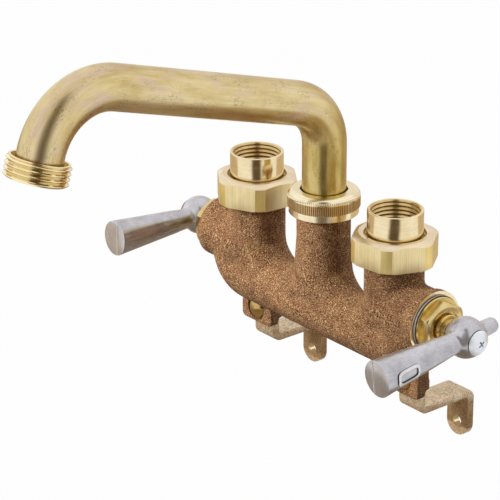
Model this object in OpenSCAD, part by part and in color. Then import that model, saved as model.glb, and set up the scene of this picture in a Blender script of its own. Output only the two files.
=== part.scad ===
// Two-handle utility sink faucet with union inlets, a swing spout and straddle legs.
// Millimetres. +X runs along the body to the right-hand valve, -Y is the front, +Z is up.

/* [Body casting] */
// Distance between the two inlet axes
inlet_spacing = 90; // [84:1:110]
// Outside diameter of the inlet necks
neck_d = 25.4; // [24:0.2:28]
// Height of the inlet necks above the valve axis
neck_h = 25.3; // [24:0.1:32]
// Bore of the inlet necks
neck_bore_d = 18; // [14:0.5:19]
// Outside diameter of the spout riser
riser_d = 23.4; // [23:0.1:26]
// Height of the riser above the valve axis
riser_h = 33; // [30:0.5:45]
// Extra radius of the riser at its foot
riser_flare = 1.6; // [0:0.1:3]
// Outside diameter of the bridge between the valves
bridge_d = 25; // [23:0.5:28]
// Bore of the bridge
bridge_bore_d = 15; // [10:0.5:16]
// Drop of the bridge below the valve axis
bridge_drop = 15.4; // [14:0.1:18]
// Centreline radius of the bends at the ends of the bridge
elbow_r = 10; // [8:0.5:11]
// Distance of those bends behind the valve ports
elbow_inset = 1; // [0.5:0.1:3]
// Outside diameter of the rounded valve chamber
chamber_d = 26; // [25.6:0.1:29]
// Bore of the valve chamber
chamber_bore_d = 17; // [16:0.1:18]
// Distance from an inlet axis out to the face of its valve port
port_length = 25.1; // [25:0.1:32]
// Outside diameter of the machined ring at a valve port
port_d = 27.8; // [27:0.1:32]
// Width of the machined ring at a valve port
port_ring_w = 4; // [2:0.5:6]

/* [Lugs and legs] */
// Distance between the two legs
leg_spacing = 97; // [92:1:104]
// Width of a lug
lug_w = 20.5; // [18:0.5:24]
// Thickness of a lug
lug_t = 4.9; // [4.2:0.1:6]
// Distance from the spout axis back to the front of the lugs
lug_front = 2.1; // [0:0.1:4]
// Length of the lugs below the bridge
lug_drop = 13.1; // [13:0.1:16]
// Corner radius of the lugs
lug_corner_r = 2.2; // [1:0.1:3]
// Depth of the cheeks on either side of a leg, behind the lug
cheek_t = 2.4; // [1:0.1:4]
// Height of the leg screws above the bottom of the lugs
leg_screw_h = 6.8; // [6:0.1:8]
// Width of the leg strip
leg_w = 12.7; // [11:0.1:14]
// Thickness of the leg strip
leg_t = 3.6; // [2.5:0.1:4]
// Inside radius of the bends of the leg strip
leg_bend_r = 1; // [0.5:0.1:2]
// Drop of the leg's underside below the bottom of the lugs
leg_drop = 9.75; // [8:0.25:16]
// Length of the leg from the lug back to its hanging tab
leg_reach = 28.8; // [20:0.5:40]
// Drop of the fixing hole below the leg's underside
leg_hole_drop = 13.75; // [10:0.25:24]
// Diameter of the fixing hole in each leg
leg_hole_d = 5.2; // [4:0.1:7]
// Thread diameter of the leg screws
leg_screw_d = 4.8; // [4:0.1:5.5]
// Head diameter of the leg screws
leg_screw_head_d = 10.6; // [9:0.1:11]
// Head height of the leg screws
leg_screw_head_h = 3.6; // [2.5:0.1:4.5]
// Depth of the counterbore for a leg screw
leg_counterbore = 1.6; // [1:0.1:2.5]

/* [Inlet unions] */
// Outside diameter of the union nuts
union_nut_d = 36.9; // [35:0.1:40]
// Distance across the flats of the union nuts
union_nut_af = 34.3; // [33:0.1:36]
// Thickness of the lip at the top of the union nuts
union_lip = 3; // [2:0.1:5]
// Width of the chamfer at the top of the union nuts
union_chamfer = 1.6; // [0.5:0.1:2]
// Diameter of the thread between a neck and its union nut
union_thread_d = 30.8; // [29:0.1:31.5]
// Depth of the nut on the neck's thread
union_engage = 4.5; // [4:0.1:6]
// Diameter of the opening in the union nuts
union_hole_d = 26; // [25:0.1:27.5]
// Outside diameter of the union tailpieces
tail_d = 23.6; // [23:0.1:24.5]
// Effective diameter of the female pipe thread in the tailpieces
tail_thread_d = 19.8; // [18:0.1:20.5]
// Length of the female pipe thread
tail_thread_l = 12; // [9:0.5:12]
// Waterway of the tailpieces below the thread
tail_bore_d = 16; // [12:0.5:17]
// Height of the tailpieces above the union nuts
tail_rise = 10.2; // [8:0.1:20]
// Thickness of the flange at the foot of the tailpieces
tail_flange_t = 3; // [2:0.1:4]
// Thickness of the union gaskets
union_gasket_t = 1.5; // [1:0.1:2]
// Turn of the left union nut about its axis
left_nut_turn = 25; // [0:1:59]
// Turn of the right union nut about its axis
right_nut_turn = 7; // [0:1:59]

/* [Spout] */
// Outside diameter of the spout tube
spout_d = 19.05; // [18.6:0.05:19.5]
// Wall thickness of the spout tube
spout_wall = 1.2; // [0.8:0.1:2]
// Length of the spout tube inside the riser
spout_insert = 27; // [20:0.5:28]
// Straight length of the spout above the riser
spout_rise = 25.9; // [20:0.1:60]
// Centreline radius of the bend above the riser
spout_base_r = 22.5; // [14:0.5:40]
// Rise of the arm above the horizontal, in degrees
spout_arm_angle = 16.2; // [0:0.1:30]
// Straight length of the arm
spout_arm_l = 96; // [60:0.1:200]
// Centreline radius of the bend at the tip
spout_tip_r = 28.6; // [20:0.1:50]
// Turn of the bend at the tip, in degrees
spout_tip_turn = 89; // [60:0.5:100]
// Straight length of the tip, to the end of the hose thread
spout_tip_l = 11; // [10:0.1:30]
// Thread diameter of the hose end
hose_d = 26.3; // [25.5:0.05:28]
// Length of the hose end
hose_l = 8.8; // [7:0.1:9.5]
// Distance of the tube's end above the end of the hose thread
hose_recess = 1.2; // [0.5:0.1:2]
// Diameter of the cup around the tube at the top of the hose end
hose_cup_d = 22.6; // [20.5:0.1:23]
// Depth of the cup around the tube
hose_cup_h = 2.4; // [1:0.1:3]
// Outside diameter of the spout nut
spout_nut_d = 31.4; // [29:0.1:36]
// Height of the collar that holds the spout down
spout_collar_h = 2.4; // [1.5:0.1:4]
// Radius of the shoulder of the spout nut
spout_nut_round = 2.8; // [1:0.1:3.5]
// Thickness of the lip at the top of the spout nut
spout_nut_lip = 2.2; // [1.5:0.1:2.4]
// Depth of the spout nut on the riser's thread
spout_engage = 4.9; // [4:0.1:5]
// Diameter of the thread between the riser and the spout nut
spout_thread_d = 22.8; // [22.6:0.1:23.4]
// Thickness of the friction washer below the lip
spout_washer_t = 1; // [0.6:0.1:1.2]
// Depth of the seal groove in the riser's bore
spout_groove = 1; // [0.8:0.1:1.2]
// Distance of the spout seal above the valve axis
spout_seal_h = 12; // [9:0.5:20]

/* [Valves] */
// Distance of the seat wall's outer face from the inlet axis
seat_offset = 2.5; // [2:0.1:3]
// Thickness of the wall that holds the seat
seat_wall = 3.5; // [3:0.1:4]
// Thread diameter of the seat
seat_d = 12.4; // [11:0.1:13]
// Bore of the seat
seat_bore_d = 8.4; // [6:0.1:9]
// Height of the seat's lip
seat_lip = 0.8; // [0.4:0.1:1.2]
// Diameter of the seat washer
washer_d = 13.2; // [12:0.1:13.6]
// Thickness of the seat washer
washer_t = 2.8; // [2:0.1:3]
// Diameter of the washer holder
holder_d = 14.8; // [14.4:0.1:15.4]
// Thickness of the washer holder's plate
holder_t = 1.6; // [1.2:0.1:2]
// Diameter of the stud on which the washer holder swivels
holder_stud_d = 4.8; // [3.5:0.1:5.5]
// Length of that stud
holder_stud_l = 4; // [3:0.1:6]
// Thread diameter of the stem
stem_thread_d = 14; // [13:0.1:14.6]
// Diameter of the stem's shaft
stem_d = 9.6; // [8:0.1:10]
// Diameter of the stem's end in the handle
stem_end_d = 8.4; // [7:0.1:9]
// Depth of the groove for the stem's seal
stem_groove = 1.1; // [0.8:0.1:1.4]
// Thread length of the stem inside the bonnet when shut
stem_engage = 5; // [4:0.1:5.5]
// Travel of the stem from shut to open
stem_lift = 3; // [2:0.1:3]
// Travel at which the left valve stands
left_open = 0; // [0:0.1:2]
// Travel at which the right valve stands
right_open = 2; // [0:0.1:2]
// Thread diameter of the bonnet
bonnet_thread_d = 19.2; // [18.6:0.1:20]
// Length of the bonnet's thread
bonnet_thread_l = 12; // [11.5:0.1:12.5]
// Diameter of the bonnet's flange
bonnet_flange_d = 23.8; // [23.2:0.1:24.2]
// Thickness of the bonnet's flange
bonnet_flange_t = 1; // [0.8:0.1:2]
// Distance across the flats of the bonnet
bonnet_af = 19.9; // [18.5:0.1:20]
// Height of the bonnet's hexagon above its flange
bonnet_hex_h = 4.5; // [4:0.1:8]
// Turn of the bonnet's hexagon about the valve axis
bonnet_turn = 2; // [0:1:59]
// Diameter of the boss around the stem at the end of the bonnet
bonnet_boss_d = 12.4; // [11.4:0.1:12.8]
// Height of that boss above the hexagon
bonnet_boss_h = 1.6; // [0.5:0.1:1.8]
// Outside diameter of the groove around the boss
bonnet_groove_d = 14.4; // [13.6:0.1:15.4]
// Depth of the groove around the boss
bonnet_groove_h = 1.5; // [1:0.1:2]
// Length of the stem's shaft in front of the bonnet of a shut valve
stem_stand = 1.8; // [0.5:0.1:2]
// Outside diameter of the bonnet gaskets
bonnet_gasket_d = 24.5; // [23.5:0.1:26]
// Thickness of the bonnet gaskets
bonnet_gasket_t = 1.2; // [0.8:0.1:2]

/* [Handles] */
// Diameter of the ball at the hub of a handle
hub_d = 17.5; // [17:0.1:22]
// Gap between a bonnet and the hub of a shut valve
hub_gap = 2.45; // [2.2:0.05:4]
// Length of a lever from its hub to its end
lever_l = 48.4; // [40:0.2:80]
// Diameter of a lever where it leaves the hub
lever_neck_d = 8.2; // [7:0.1:12]
// Diameter of a lever at its end
lever_end_d = 15.8; // [12:0.1:20]
// Edge radius at the end of a lever
lever_edge_r = 2; // [0.5:0.1:3]
// Diameter of the tail opposite a lever
tail_pin_d = 7.2; // [6:0.1:9]
// Length of the tail from the hub's centre
tail_pin_l = 17.2; // [14:0.1:24]
// Drop of the left lever below the horizontal, in degrees
left_lever_drop = -1; // [-30:1:30]
// Drop of the right lever below the horizontal, in degrees
right_lever_drop = 5; // [-30:1:30]
// Thread diameter of a handle screw
handle_screw_d = 4; // [3:0.1:4.8]
// Head diameter of a handle screw
handle_screw_head_d = 10.8; // [9:0.1:12]
// Head height of a handle screw
handle_screw_head_h = 2.6; // [2:0.1:3.5]
// Length of a handle screw below its head
handle_screw_l = 14; // [10:0.5:15]

/* [Clearances] */
// Radial clearance of threads and of pressed or sealed pieces
thread_clear = 0.05; // [0.03:0.01:0.08]
// Radial clearance of shafts that turn
run_clear = 0.07; // [0.05:0.01:0.09]
// End gap between pieces that move against each other
end_gap = 0.1; // [0.1:0.05:0.2]
// Radial room around heads, collars and flanges
head_room = 0.35; // [0.3:0.05:0.5]

/* [Hidden] */
$fn = 96;

cut = 0.5; // how far a cutter runs past the face it opens
lap = 0.4; // how far a straight length of tube runs into a bend
bend_draw = 0.02; // how much the tube thins in a bend
thread_room = 1; // free length past the end of a thread
seal_room = 1.3; // free length of a stem's bore before its seal
hub_recess = 0.65; // depth of the bore for the stem's shaft in a hub
screw_end = 1; // how far a leg screw stands out behind its leg
strip_end = 5.2; // how far a leg's strip runs on above its screw
nut_lip_room = 0.475; // radial room between the spout nut's lip and the tube
passage_room = 0.3; // how much wider the passage is than the seat, all round
valley_inset = 0.5; // how far the half ring of a valley lies inside its neighbours, all round
neck_floor_drop = 1; // how far a neck's bore runs into the chamber's crown
cast_brass = [0.52, 0.34, 0.24];
turned_brass = [0.82, 0.68, 0.40];
pale_brass = [0.86, 0.76, 0.52];
tube_brass = [0.72, 0.60, 0.42];
leg_brass = [0.70, 0.56, 0.38];
die_cast_grey = [0.60, 0.60, 0.64];
steel_grey = [0.80, 0.80, 0.82];
seal_grey = [0.45, 0.45, 0.46];
rubber_black = [0.10, 0.10, 0.10];

// Places along the valve axis, from the spout axis outwards
inlet_x = inlet_spacing / 2;
port_x = inlet_x + port_length;
wall_x = inlet_x + seat_offset;
passage_x = wall_x - seat_wall;
lip_x = wall_x + seat_lip;
washer_x = lip_x + end_gap;
holder_x = washer_x + washer_t;
stem_x = holder_x + holder_t + end_gap;
bonnet_x = port_x - bonnet_thread_l;
stem_thread_x = bonnet_x + stem_engage;
bonnet_step_x = stem_thread_x + stem_lift + thread_room;
bonnet_seat_x = port_x + bonnet_gasket_t;
hex_x = bonnet_seat_x + bonnet_flange_t;
bonnet_end_x = hex_x + bonnet_hex_h;
seal_x = bonnet_step_x + stem_groove + seal_room;
shoulder_x = bonnet_end_x + stem_stand;
hub_bore_d = stem_d + 2 * head_room;
hub_face_x = bonnet_end_x + hub_gap;
hub_x = hub_face_x + sqrt(pow(hub_d / 2, 2) - pow(hub_bore_d / 2, 2));
stem_end_x = hub_x + thread_room;
socket_x = stem_end_x + 4 * end_gap;
screw_seat_x = hub_x + sqrt(pow(hub_d / 2, 2) - pow(handle_screw_head_d / 2 + end_gap, 2));

// Places of the bends at the ends of the bridge
elbow_x = port_x - elbow_inset - elbow_r - bridge_d / 2;

// Half ring that rounds the valley between a neck and the riser
valley_r = inlet_spacing / 4;
valley_d = min(neck_d, bridge_d, riser_d + riser_flare) - 2 * valley_inset;

// Water passages behind the seats
passage_d = seat_bore_d + 2 * passage_room;
passage_l = 8.5;
drop_d = seat_bore_d;
drop_x = passage_x - passage_l + passage_d / 2;
inlet_port_d = 8;
inlet_port_x = lip_x + inlet_port_d / 2;

// Heights above the valve axis
union_z = neck_h - union_engage;
gasket_z = neck_h;
flange_z = gasket_z + union_gasket_t;
union_lip_z = flange_z + tail_flange_t;
union_top_z = union_lip_z + union_lip;
union_nut_h = union_top_z - union_z;
tail_top_z = union_top_z + tail_rise;
spout_nut_z = riser_h - spout_engage;
spout_collar_z = riser_h + end_gap;
spout_washer_z = spout_collar_z + spout_collar_h + end_gap;
spout_lip_z = spout_washer_z + spout_washer_t;
spout_nut_top_z = spout_lip_z + spout_nut_lip;
spout_nut_h = spout_nut_top_z - spout_nut_z;
tube_foot_z = riser_h - spout_insert;
spout_bend_z = riser_h + spout_rise;
spout_lip_d = spout_d + 2 * nut_lip_room;
spout_groove_d = spout_d + 2 * (run_clear + spout_groove);

// Places of the lugs and legs
leg_x = leg_spacing / 2;
lug_back = lug_front + lug_t;
lug_z = -bridge_drop - bridge_d / 2 - lug_drop;
leg_screw_z = lug_z + leg_screw_h;
leg_under_z = lug_z - leg_drop;
leg_end_z = leg_screw_z + strip_end;
tab_y = lug_back + leg_reach;
leg_hole_z = leg_under_z - leg_hole_drop;
leg_outer_r = leg_bend_r + leg_t;

// The origin lies midway between the fixing holes, on the front faces of the tabs
module placed() {
    translate([0, -tab_y, -leg_hole_z]) children();
}

// side is 1 for the right-hand pieces and -1 for the left-hand ones
module on_side(side) {
    placed() mirror([side < 0 ? 1 : 0, 0, 0]) children();
}

// Pieces that move with a valve's stem
module on_stem(side) {
    on_side(side) translate([side < 0 ? left_open : right_open, 0, 0]) children();
}

module rod_x(d, x0, x1) {
    translate([x0, 0, 0]) rotate([0, 90, 0]) cylinder(d = d, h = x1 - x0);
}

module rod_y(d, y0, y1) {
    translate([0, y0, 0]) rotate([-90, 0, 0]) cylinder(d = d, h = y1 - y0);
}

module rod_z(d, z0, z1) {
    translate([0, 0, z0]) cylinder(d = d, h = z1 - z0);
}

module tube_x(d, bore, x0, x1) {
    difference() {
        rod_x(d, x0, x1);
        rod_x(bore, x0 - cut, x1 + cut);
    }
}

module tube_z(d, bore, z0, z1) {
    difference() {
        rod_z(d, z0, z1);
        rod_z(bore, z0 - cut, z1 + cut);
    }
}

module ring_torus(ring_d, wire_d) {
    rotate_extrude() translate([ring_d / 2, 0]) circle(d = wire_d, $fn = 32);
}

// Low dome of diameter d and height h on the plane z = 0, as on a round screw head
module dome(d, h) {
    dome_r = (d * d / 4 + h * h) / (2 * h);
    rotate_extrude() intersection() {
        translate([0, h - dome_r]) circle(r = dome_r);
        square([d / 2, h]);
    }
}

// Square of width w and height h standing on y = 0, with its lower corners rounded
module rounded_foot(w, h, r) {
    translate([-w / 2, r]) square([w, h - r]);
    translate([-w / 2 + r, 0]) square([w - 2 * r, r]);
    for (s = [-1, 1]) translate([s * (w / 2 - r), r]) circle(r = r);
}

// Quarter bend that carries the bridge up towards a valve port
module bridge_elbow() {
    translate([elbow_x, 0, elbow_r - bridge_drop]) rotate([90, 0, 0])
        rotate([0, 0, -90]) rotate_extrude(angle = 90) intersection() {
            translate([elbow_r, 0]) circle(d = bridge_d);
            translate([0, -bridge_d]) square(2 * bridge_d);
        }
}

// Half ring between a neck and the riser
module valley_bend() {
    translate([valley_r, 0, valley_r - bridge_drop]) rotate([90, 180, 0])
        rotate_extrude(angle = 180) translate([valley_r, 0]) circle(d = valley_d);
}

module lug() {
    cheek_w = (lug_w - leg_w) / 2 - head_room;
    root_z = -bridge_drop;
    cheek_h = root_z - lug_z - lug_corner_r;
    inner_y = -lug_t / 2;
    translate([leg_x, lug_back, lug_z]) rotate([90, 0, 0])
        linear_extrude(lug_t) rounded_foot(lug_w, root_z - lug_z, lug_corner_r);
    for (s = [-1, 1])
        translate([leg_x + s * (lug_w - cheek_w) / 2 - cheek_w / 2, lug_back, lug_z + lug_corner_r])
            rotate([90, 0, 90]) linear_extrude(cheek_w)
                polygon([[inner_y, 0], [0, 0], [cheek_t, cheek_t], [cheek_t, cheek_h], [inner_y, cheek_h]]);
}

// What stands on one half of the bridge, before it is bored
module casting_half() {
    bridge_elbow();
    valley_bend();
    translate([inlet_x, 0, 0]) {
        sphere(d = chamber_d);
        rod_z(neck_d, 0, union_z + cut);
        rod_z(union_thread_d, union_z + cut, neck_h);
    }
    rod_x(chamber_d, inlet_x, port_x - port_ring_w + cut);
    rod_x(port_d, port_x - port_ring_w, port_x);
    lug();
}

// The waterways and threads of one half
module casting_cuts() {
    rod_x(passage_d, passage_x - passage_l, passage_x + cut);
    rod_x(seat_d + 2 * thread_clear, passage_x, wall_x + cut);
    rod_x(chamber_bore_d, wall_x, bonnet_x + cut);
    rod_x(bonnet_thread_d + 2 * thread_clear, bonnet_x - cut, port_x + cut);
    translate([drop_x, 0, 0]) rod_z(drop_d, -bridge_drop, 0);
    translate([inlet_x, 0, 0]) rod_z(neck_bore_d, chamber_d / 2 - neck_floor_drop, neck_h + cut);
    translate([inlet_port_x, 0, 0]) rod_z(inlet_port_d, 0, chamber_d / 2);
    translate([leg_x, 0, leg_screw_z]) {
        rod_y(leg_screw_d + 4 * thread_clear, lug_front - cut, lug_back + cut);
        rod_y(leg_screw_head_d + 2 * head_room, lug_front - cut, lug_front + leg_counterbore);
    }
}

module valve_body() {
    flare_h = bridge_drop / 2 + riser_h / 2;
    color(cast_brass) placed() difference() {
        union() {
            for (side = [0, 1]) mirror([side, 0, 0]) casting_half();
            translate([0, 0, -bridge_drop]) rod_x(bridge_d, -elbow_x, elbow_x);
            rod_z(riser_d, -bridge_drop, spout_nut_z);
            rod_z(spout_thread_d, spout_nut_z - cut, riser_h);
            translate([0, 0, -bridge_drop / 2])
                cylinder(d1 = riser_d + 2 * riser_flare, d2 = riser_d, h = flare_h);
        }
        for (side = [0, 1]) mirror([side, 0, 0]) casting_cuts();
        translate([0, 0, -bridge_drop]) rod_x(bridge_bore_d, -drop_x, drop_x);
        rod_z(spout_d + 2 * run_clear, tube_foot_z - end_gap, riser_h + cut);
        rod_z(bridge_bore_d, -bridge_drop, tube_foot_z);
        rod_z(spout_groove_d, spout_seal_h - spout_groove, spout_seal_h + spout_groove);
    }
}

// The tube's path with diameter d, from foot_z to tip_cut short of the hose thread's end
module spout_path(d, foot_z, tip_cut) {
    turn = 90 - spout_arm_angle;
    rod_z(d, foot_z, spout_bend_z + lap);
    translate([0, -spout_base_r, spout_bend_z]) {
        rotate([90, 0, 90]) pipe_bend(d, spout_base_r, turn);
        rotate([turn, 0, 0]) translate([0, spout_base_r, 0]) {
            rod_z(d, -lap, spout_arm_l + lap);
            translate([0, -spout_tip_r, spout_arm_l]) {
                rotate([90, 0, 90]) pipe_bend(d, spout_tip_r, spout_tip_turn);
                rotate([spout_tip_turn, 0, 0]) translate([0, spout_tip_r, 0])
                    rod_z(d, -lap, spout_tip_l - tip_cut);
            }
        }
    }
}

// A bend of the tube, which is drawn slightly thinner than the straight lengths
module pipe_bend(d, r, turn) {
    rotate_extrude(angle = turn) translate([r, 0]) circle(d = d - bend_draw);
}

// Frame at the end of the tip bend, with +Z along the tip's way out
module at_spout_tip() {
    turn = 90 - spout_arm_angle;
    translate([0, -spout_base_r, spout_bend_z]) rotate([turn, 0, 0])
        translate([0, spout_base_r - spout_tip_r, spout_arm_l])
            rotate([spout_tip_turn, 0, 0]) translate([0, spout_tip_r, 0]) children();
}

module spout_tube() {
    color(tube_brass) placed() difference() {
        spout_path(spout_d, tube_foot_z, hose_recess);
        spout_path(spout_d - 2 * spout_wall, tube_foot_z - cut, hose_recess - cut);
    }
}

module spout_collar() {
    outer = spout_thread_d + 2 * thread_clear - 2 * head_room;
    color(turned_brass) placed()
        tube_z(outer, spout_d + 2 * thread_clear, spout_collar_z, spout_collar_z + spout_collar_h);
}

module spout_o_ring() {
    wire = (spout_groove_d - spout_d) / 2 - thread_clear - run_clear;
    color(rubber_black) placed() translate([0, 0, spout_seal_h])
        ring_torus(spout_groove_d - 2 * thread_clear - wire, wire);
}

module spout_washer() {
    color(seal_grey) placed()
        tube_z(spout_thread_d, spout_lip_d, spout_washer_z, spout_lip_z);
}

module spout_nut() {
    r = spout_nut_d / 2;
    color(turned_brass) placed() difference() {
        rotate_extrude() {
            translate([0, spout_nut_z]) square([r, spout_nut_h - spout_nut_round]);
            translate([0, spout_nut_z]) square([r - spout_nut_round, spout_nut_h]);
            translate([r - spout_nut_round, spout_nut_top_z - spout_nut_round]) circle(r = spout_nut_round);
        }
        rod_z(spout_thread_d + 2 * thread_clear, spout_nut_z - cut, spout_lip_z);
        rod_z(spout_lip_d, spout_nut_z, spout_nut_top_z + cut);
    }
}

module hose_end() {
    chamfer = 0.8;
    color(turned_brass) placed() at_spout_tip() translate([0, 0, spout_tip_l - hose_l]) difference() {
        union() {
            cylinder(d1 = hose_d - 2 * chamfer, d2 = hose_d, h = chamfer);
            rod_z(hose_d, chamfer, hose_l - chamfer);
            translate([0, 0, hose_l - chamfer]) cylinder(d1 = hose_d, d2 = hose_d - 2 * chamfer, h = chamfer);
        }
        rod_z(spout_d + 2 * thread_clear, -cut, hose_l - hose_recess);
        rod_z(hose_cup_d, -cut, hose_cup_h);
        rod_z(spout_d - 2 * spout_wall, 0, hose_l + cut);
    }
}

module union_nut(side, turn) {
    hex_d = union_nut_af / cos(30);
    color(pale_brass) on_side(side) translate([inlet_x, 0, 0]) difference() {
        intersection() {
            union() {
                rod_z(union_nut_d, union_z, union_top_z - union_chamfer);
                translate([0, 0, union_top_z - union_chamfer])
                    cylinder(d1 = union_nut_d, d2 = union_nut_d - 4 * union_chamfer, h = union_chamfer);
            }
            rotate([0, 0, side * turn]) translate([0, 0, union_z])
                cylinder(d = hex_d, h = union_nut_h, $fn = 6);
        }
        rod_z(union_thread_d + 2 * thread_clear, union_z - cut, union_lip_z);
        rod_z(union_hole_d, union_z, union_top_z + cut);
    }
}

module union_tailpiece(side) {
    color(turned_brass) on_side(side) translate([inlet_x, 0, 0]) difference() {
        union() {
            rod_z(union_thread_d - 2 * head_room, flange_z, union_lip_z);
            rod_z(tail_d, flange_z, tail_top_z);
        }
        rod_z(tail_thread_d, tail_top_z - tail_thread_l, tail_top_z + cut);
        rod_z(tail_bore_d, flange_z - cut, tail_top_z);
    }
}

module union_gasket(side) {
    color(rubber_black) on_side(side) translate([inlet_x, 0, 0])
        tube_z(union_thread_d - 2 * head_room, neck_bore_d, gasket_z, flange_z);
}

module bonnet(side) {
    color(turned_brass) on_side(side) difference() {
        union() {
            rod_x(bonnet_thread_d, bonnet_x, bonnet_seat_x);
            rod_x(bonnet_flange_d, bonnet_seat_x, hex_x);
            translate([hex_x, 0, 0]) rotate([bonnet_turn, 0, 0]) rotate([0, 90, 0])
                cylinder(d = bonnet_af / cos(30), h = bonnet_hex_h, $fn = 6);
            rod_x(bonnet_boss_d, hex_x, bonnet_end_x + bonnet_boss_h);
        }
        rod_x(stem_thread_d + 2 * run_clear, bonnet_x - cut, bonnet_step_x);
        rod_x(stem_d + 2 * run_clear, bonnet_x, bonnet_end_x + bonnet_boss_h + cut);
        tube_x(bonnet_groove_d, bonnet_boss_d, bonnet_end_x - bonnet_groove_h, bonnet_end_x + cut);
    }
}

module bonnet_gasket(side) {
    color(seal_grey) on_side(side)
        tube_x(bonnet_gasket_d, bonnet_thread_d + 2 * thread_clear, port_x, bonnet_seat_x);
}

module valve_seat(side) {
    color(turned_brass) on_side(side) tube_x(seat_d, seat_bore_d, passage_x, lip_x);
}

module seat_washer(side) {
    color(rubber_black) on_stem(side) rod_x(washer_d, washer_x, holder_x);
}

module washer_holder(side) {
    rim = washer_t / 2;
    color(turned_brass) on_stem(side) {
        rod_x(holder_d, holder_x, holder_x + holder_t);
        tube_x(holder_d, washer_d + 2 * thread_clear, holder_x - rim, holder_x + holder_t / 2);
        rod_x(holder_stud_d, holder_x, holder_x + holder_t + holder_stud_l);
    }
}

module stem(side) {
    stud_hole_l = holder_stud_l + 2 * end_gap;
    screw_hole_x = screw_seat_x - handle_screw_l - thread_room;
    color(turned_brass) on_stem(side) difference() {
        union() {
            rod_x(stem_thread_d, stem_x, stem_thread_x);
            rod_x(stem_d, stem_x, shoulder_x);
            rod_x(stem_end_d, stem_x, stem_end_x);
        }
        tube_x(stem_d + 2 * cut, stem_d - 2 * stem_groove, seal_x - stem_groove, seal_x + stem_groove);
        rod_x(holder_stud_d + 2 * run_clear, stem_x - cut, stem_x + stud_hole_l);
        rod_x(handle_screw_d + 2 * thread_clear, screw_hole_x, stem_end_x + cut);
    }
}

module stem_o_ring(side) {
    groove_d = stem_d - 2 * stem_groove;
    wire = stem_groove - thread_clear;
    color(rubber_black) on_stem(side) translate([seal_x, 0, 0]) rotate([0, 90, 0])
        ring_torus(groove_d + 2 * thread_clear + wire, wire);
}

// Outline of a lever, turned about its own length
module lever_profile() {
    r0 = lever_neck_d / 2;
    r1 = lever_end_d / 2;
    polygon([[0, 0], [r0, 0], [r1, lever_l - lever_edge_r], [0, lever_l - lever_edge_r]]);
    translate([0, lever_l - 2 * lever_edge_r]) square([r1 - lever_edge_r, 2 * lever_edge_r]);
    translate([r1 - lever_edge_r, lever_l - lever_edge_r]) circle(r = lever_edge_r);
}

// Outline of the tail, turned about its own length
module tail_profile() {
    r = tail_pin_d / 2;
    square([r, tail_pin_l - r]);
    intersection() {
        translate([0, tail_pin_l - r]) circle(r = r);
        square([r, tail_pin_l]);
    }
}

// Ball of the hub, turned about the valve axis, with a flat for the screw's head
module hub_ball() {
    rotate_extrude() intersection() {
        circle(d = hub_d);
        translate([0, -hub_d / 2]) square([hub_d / 2, hub_d / 2 + screw_seat_x - hub_x]);
    }
}

module handle(side, drop) {
    color(die_cast_grey) on_stem(side) difference() {
        union() {
            translate([hub_x, 0, 0]) rotate([0, 90, 0]) hub_ball();
            translate([hub_x, 0, 0]) rotate([drop, 0, 0]) {
                rotate([90, 0, 0]) rotate_extrude() lever_profile();
                rotate([-90, 0, 0]) rotate_extrude() tail_profile();
            }
        }
        rod_x(stem_end_d + 2 * thread_clear, hub_x - hub_d, socket_x);
        rod_x(hub_bore_d, hub_x - hub_d, hub_face_x + hub_recess);
        rod_x(handle_screw_d + 4 * thread_clear, hub_x, hub_x + hub_d);
    }
}

module handle_screw(side) {
    color(steel_grey) on_stem(side) {
        rod_x(handle_screw_d, screw_seat_x - handle_screw_l, screw_seat_x + handle_screw_head_h / 2);
        translate([screw_seat_x, 0, 0]) rotate([0, 90, 0]) dome(handle_screw_head_d, handle_screw_head_h);
    }
}

// Side view of the leg strip: an upright, a bend, a plate, a bend and the start of the tab
module leg_profile() {
    translate([lug_back, leg_under_z + leg_outer_r]) square([leg_t, leg_end_z - leg_under_z - leg_outer_r]);
    translate([lug_back + leg_outer_r, leg_under_z]) square([leg_reach - leg_bend_r - leg_outer_r, leg_t]);
    translate([tab_y, leg_hole_z]) square([leg_t, leg_under_z - leg_bend_r - leg_hole_z]);
    bend_quarter(lug_back + leg_outer_r, leg_under_z + leg_outer_r, 180);
    bend_quarter(tab_y - leg_bend_r, leg_under_z - leg_bend_r, 0);
}

module bend_quarter(y, z, turn) {
    translate([y, z]) rotate(turn) intersection() {
        difference() {
            circle(r = leg_outer_r);
            circle(r = leg_bend_r);
        }
        square(leg_outer_r);
    }
}

module leg(side) {
    color(leg_brass) on_side(side) translate([leg_x, 0, 0]) difference() {
        union() {
            translate([-leg_w / 2, 0, 0]) rotate([90, 0, 90]) linear_extrude(leg_w) leg_profile();
            translate([0, 0, leg_hole_z]) rod_y(leg_w, tab_y, tab_y + leg_t);
        }
        translate([0, 0, leg_hole_z]) rod_y(leg_hole_d, tab_y - cut, tab_y + leg_t + cut);
        translate([0, 0, leg_screw_z])
            rod_y(leg_screw_d + 2 * thread_clear, lug_back - cut, lug_back + leg_t + cut);
    }
}

module leg_screw(side) {
    seat_y = lug_front + leg_counterbore;
    color(turned_brass) on_side(side) translate([leg_x, 0, leg_screw_z]) {
        rod_y(leg_screw_d, seat_y - leg_screw_head_h / 2, lug_back + leg_t + screw_end);
        translate([0, seat_y, 0]) rotate([90, 0, 0]) dome(leg_screw_head_d, leg_screw_head_h);
    }
}

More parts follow.
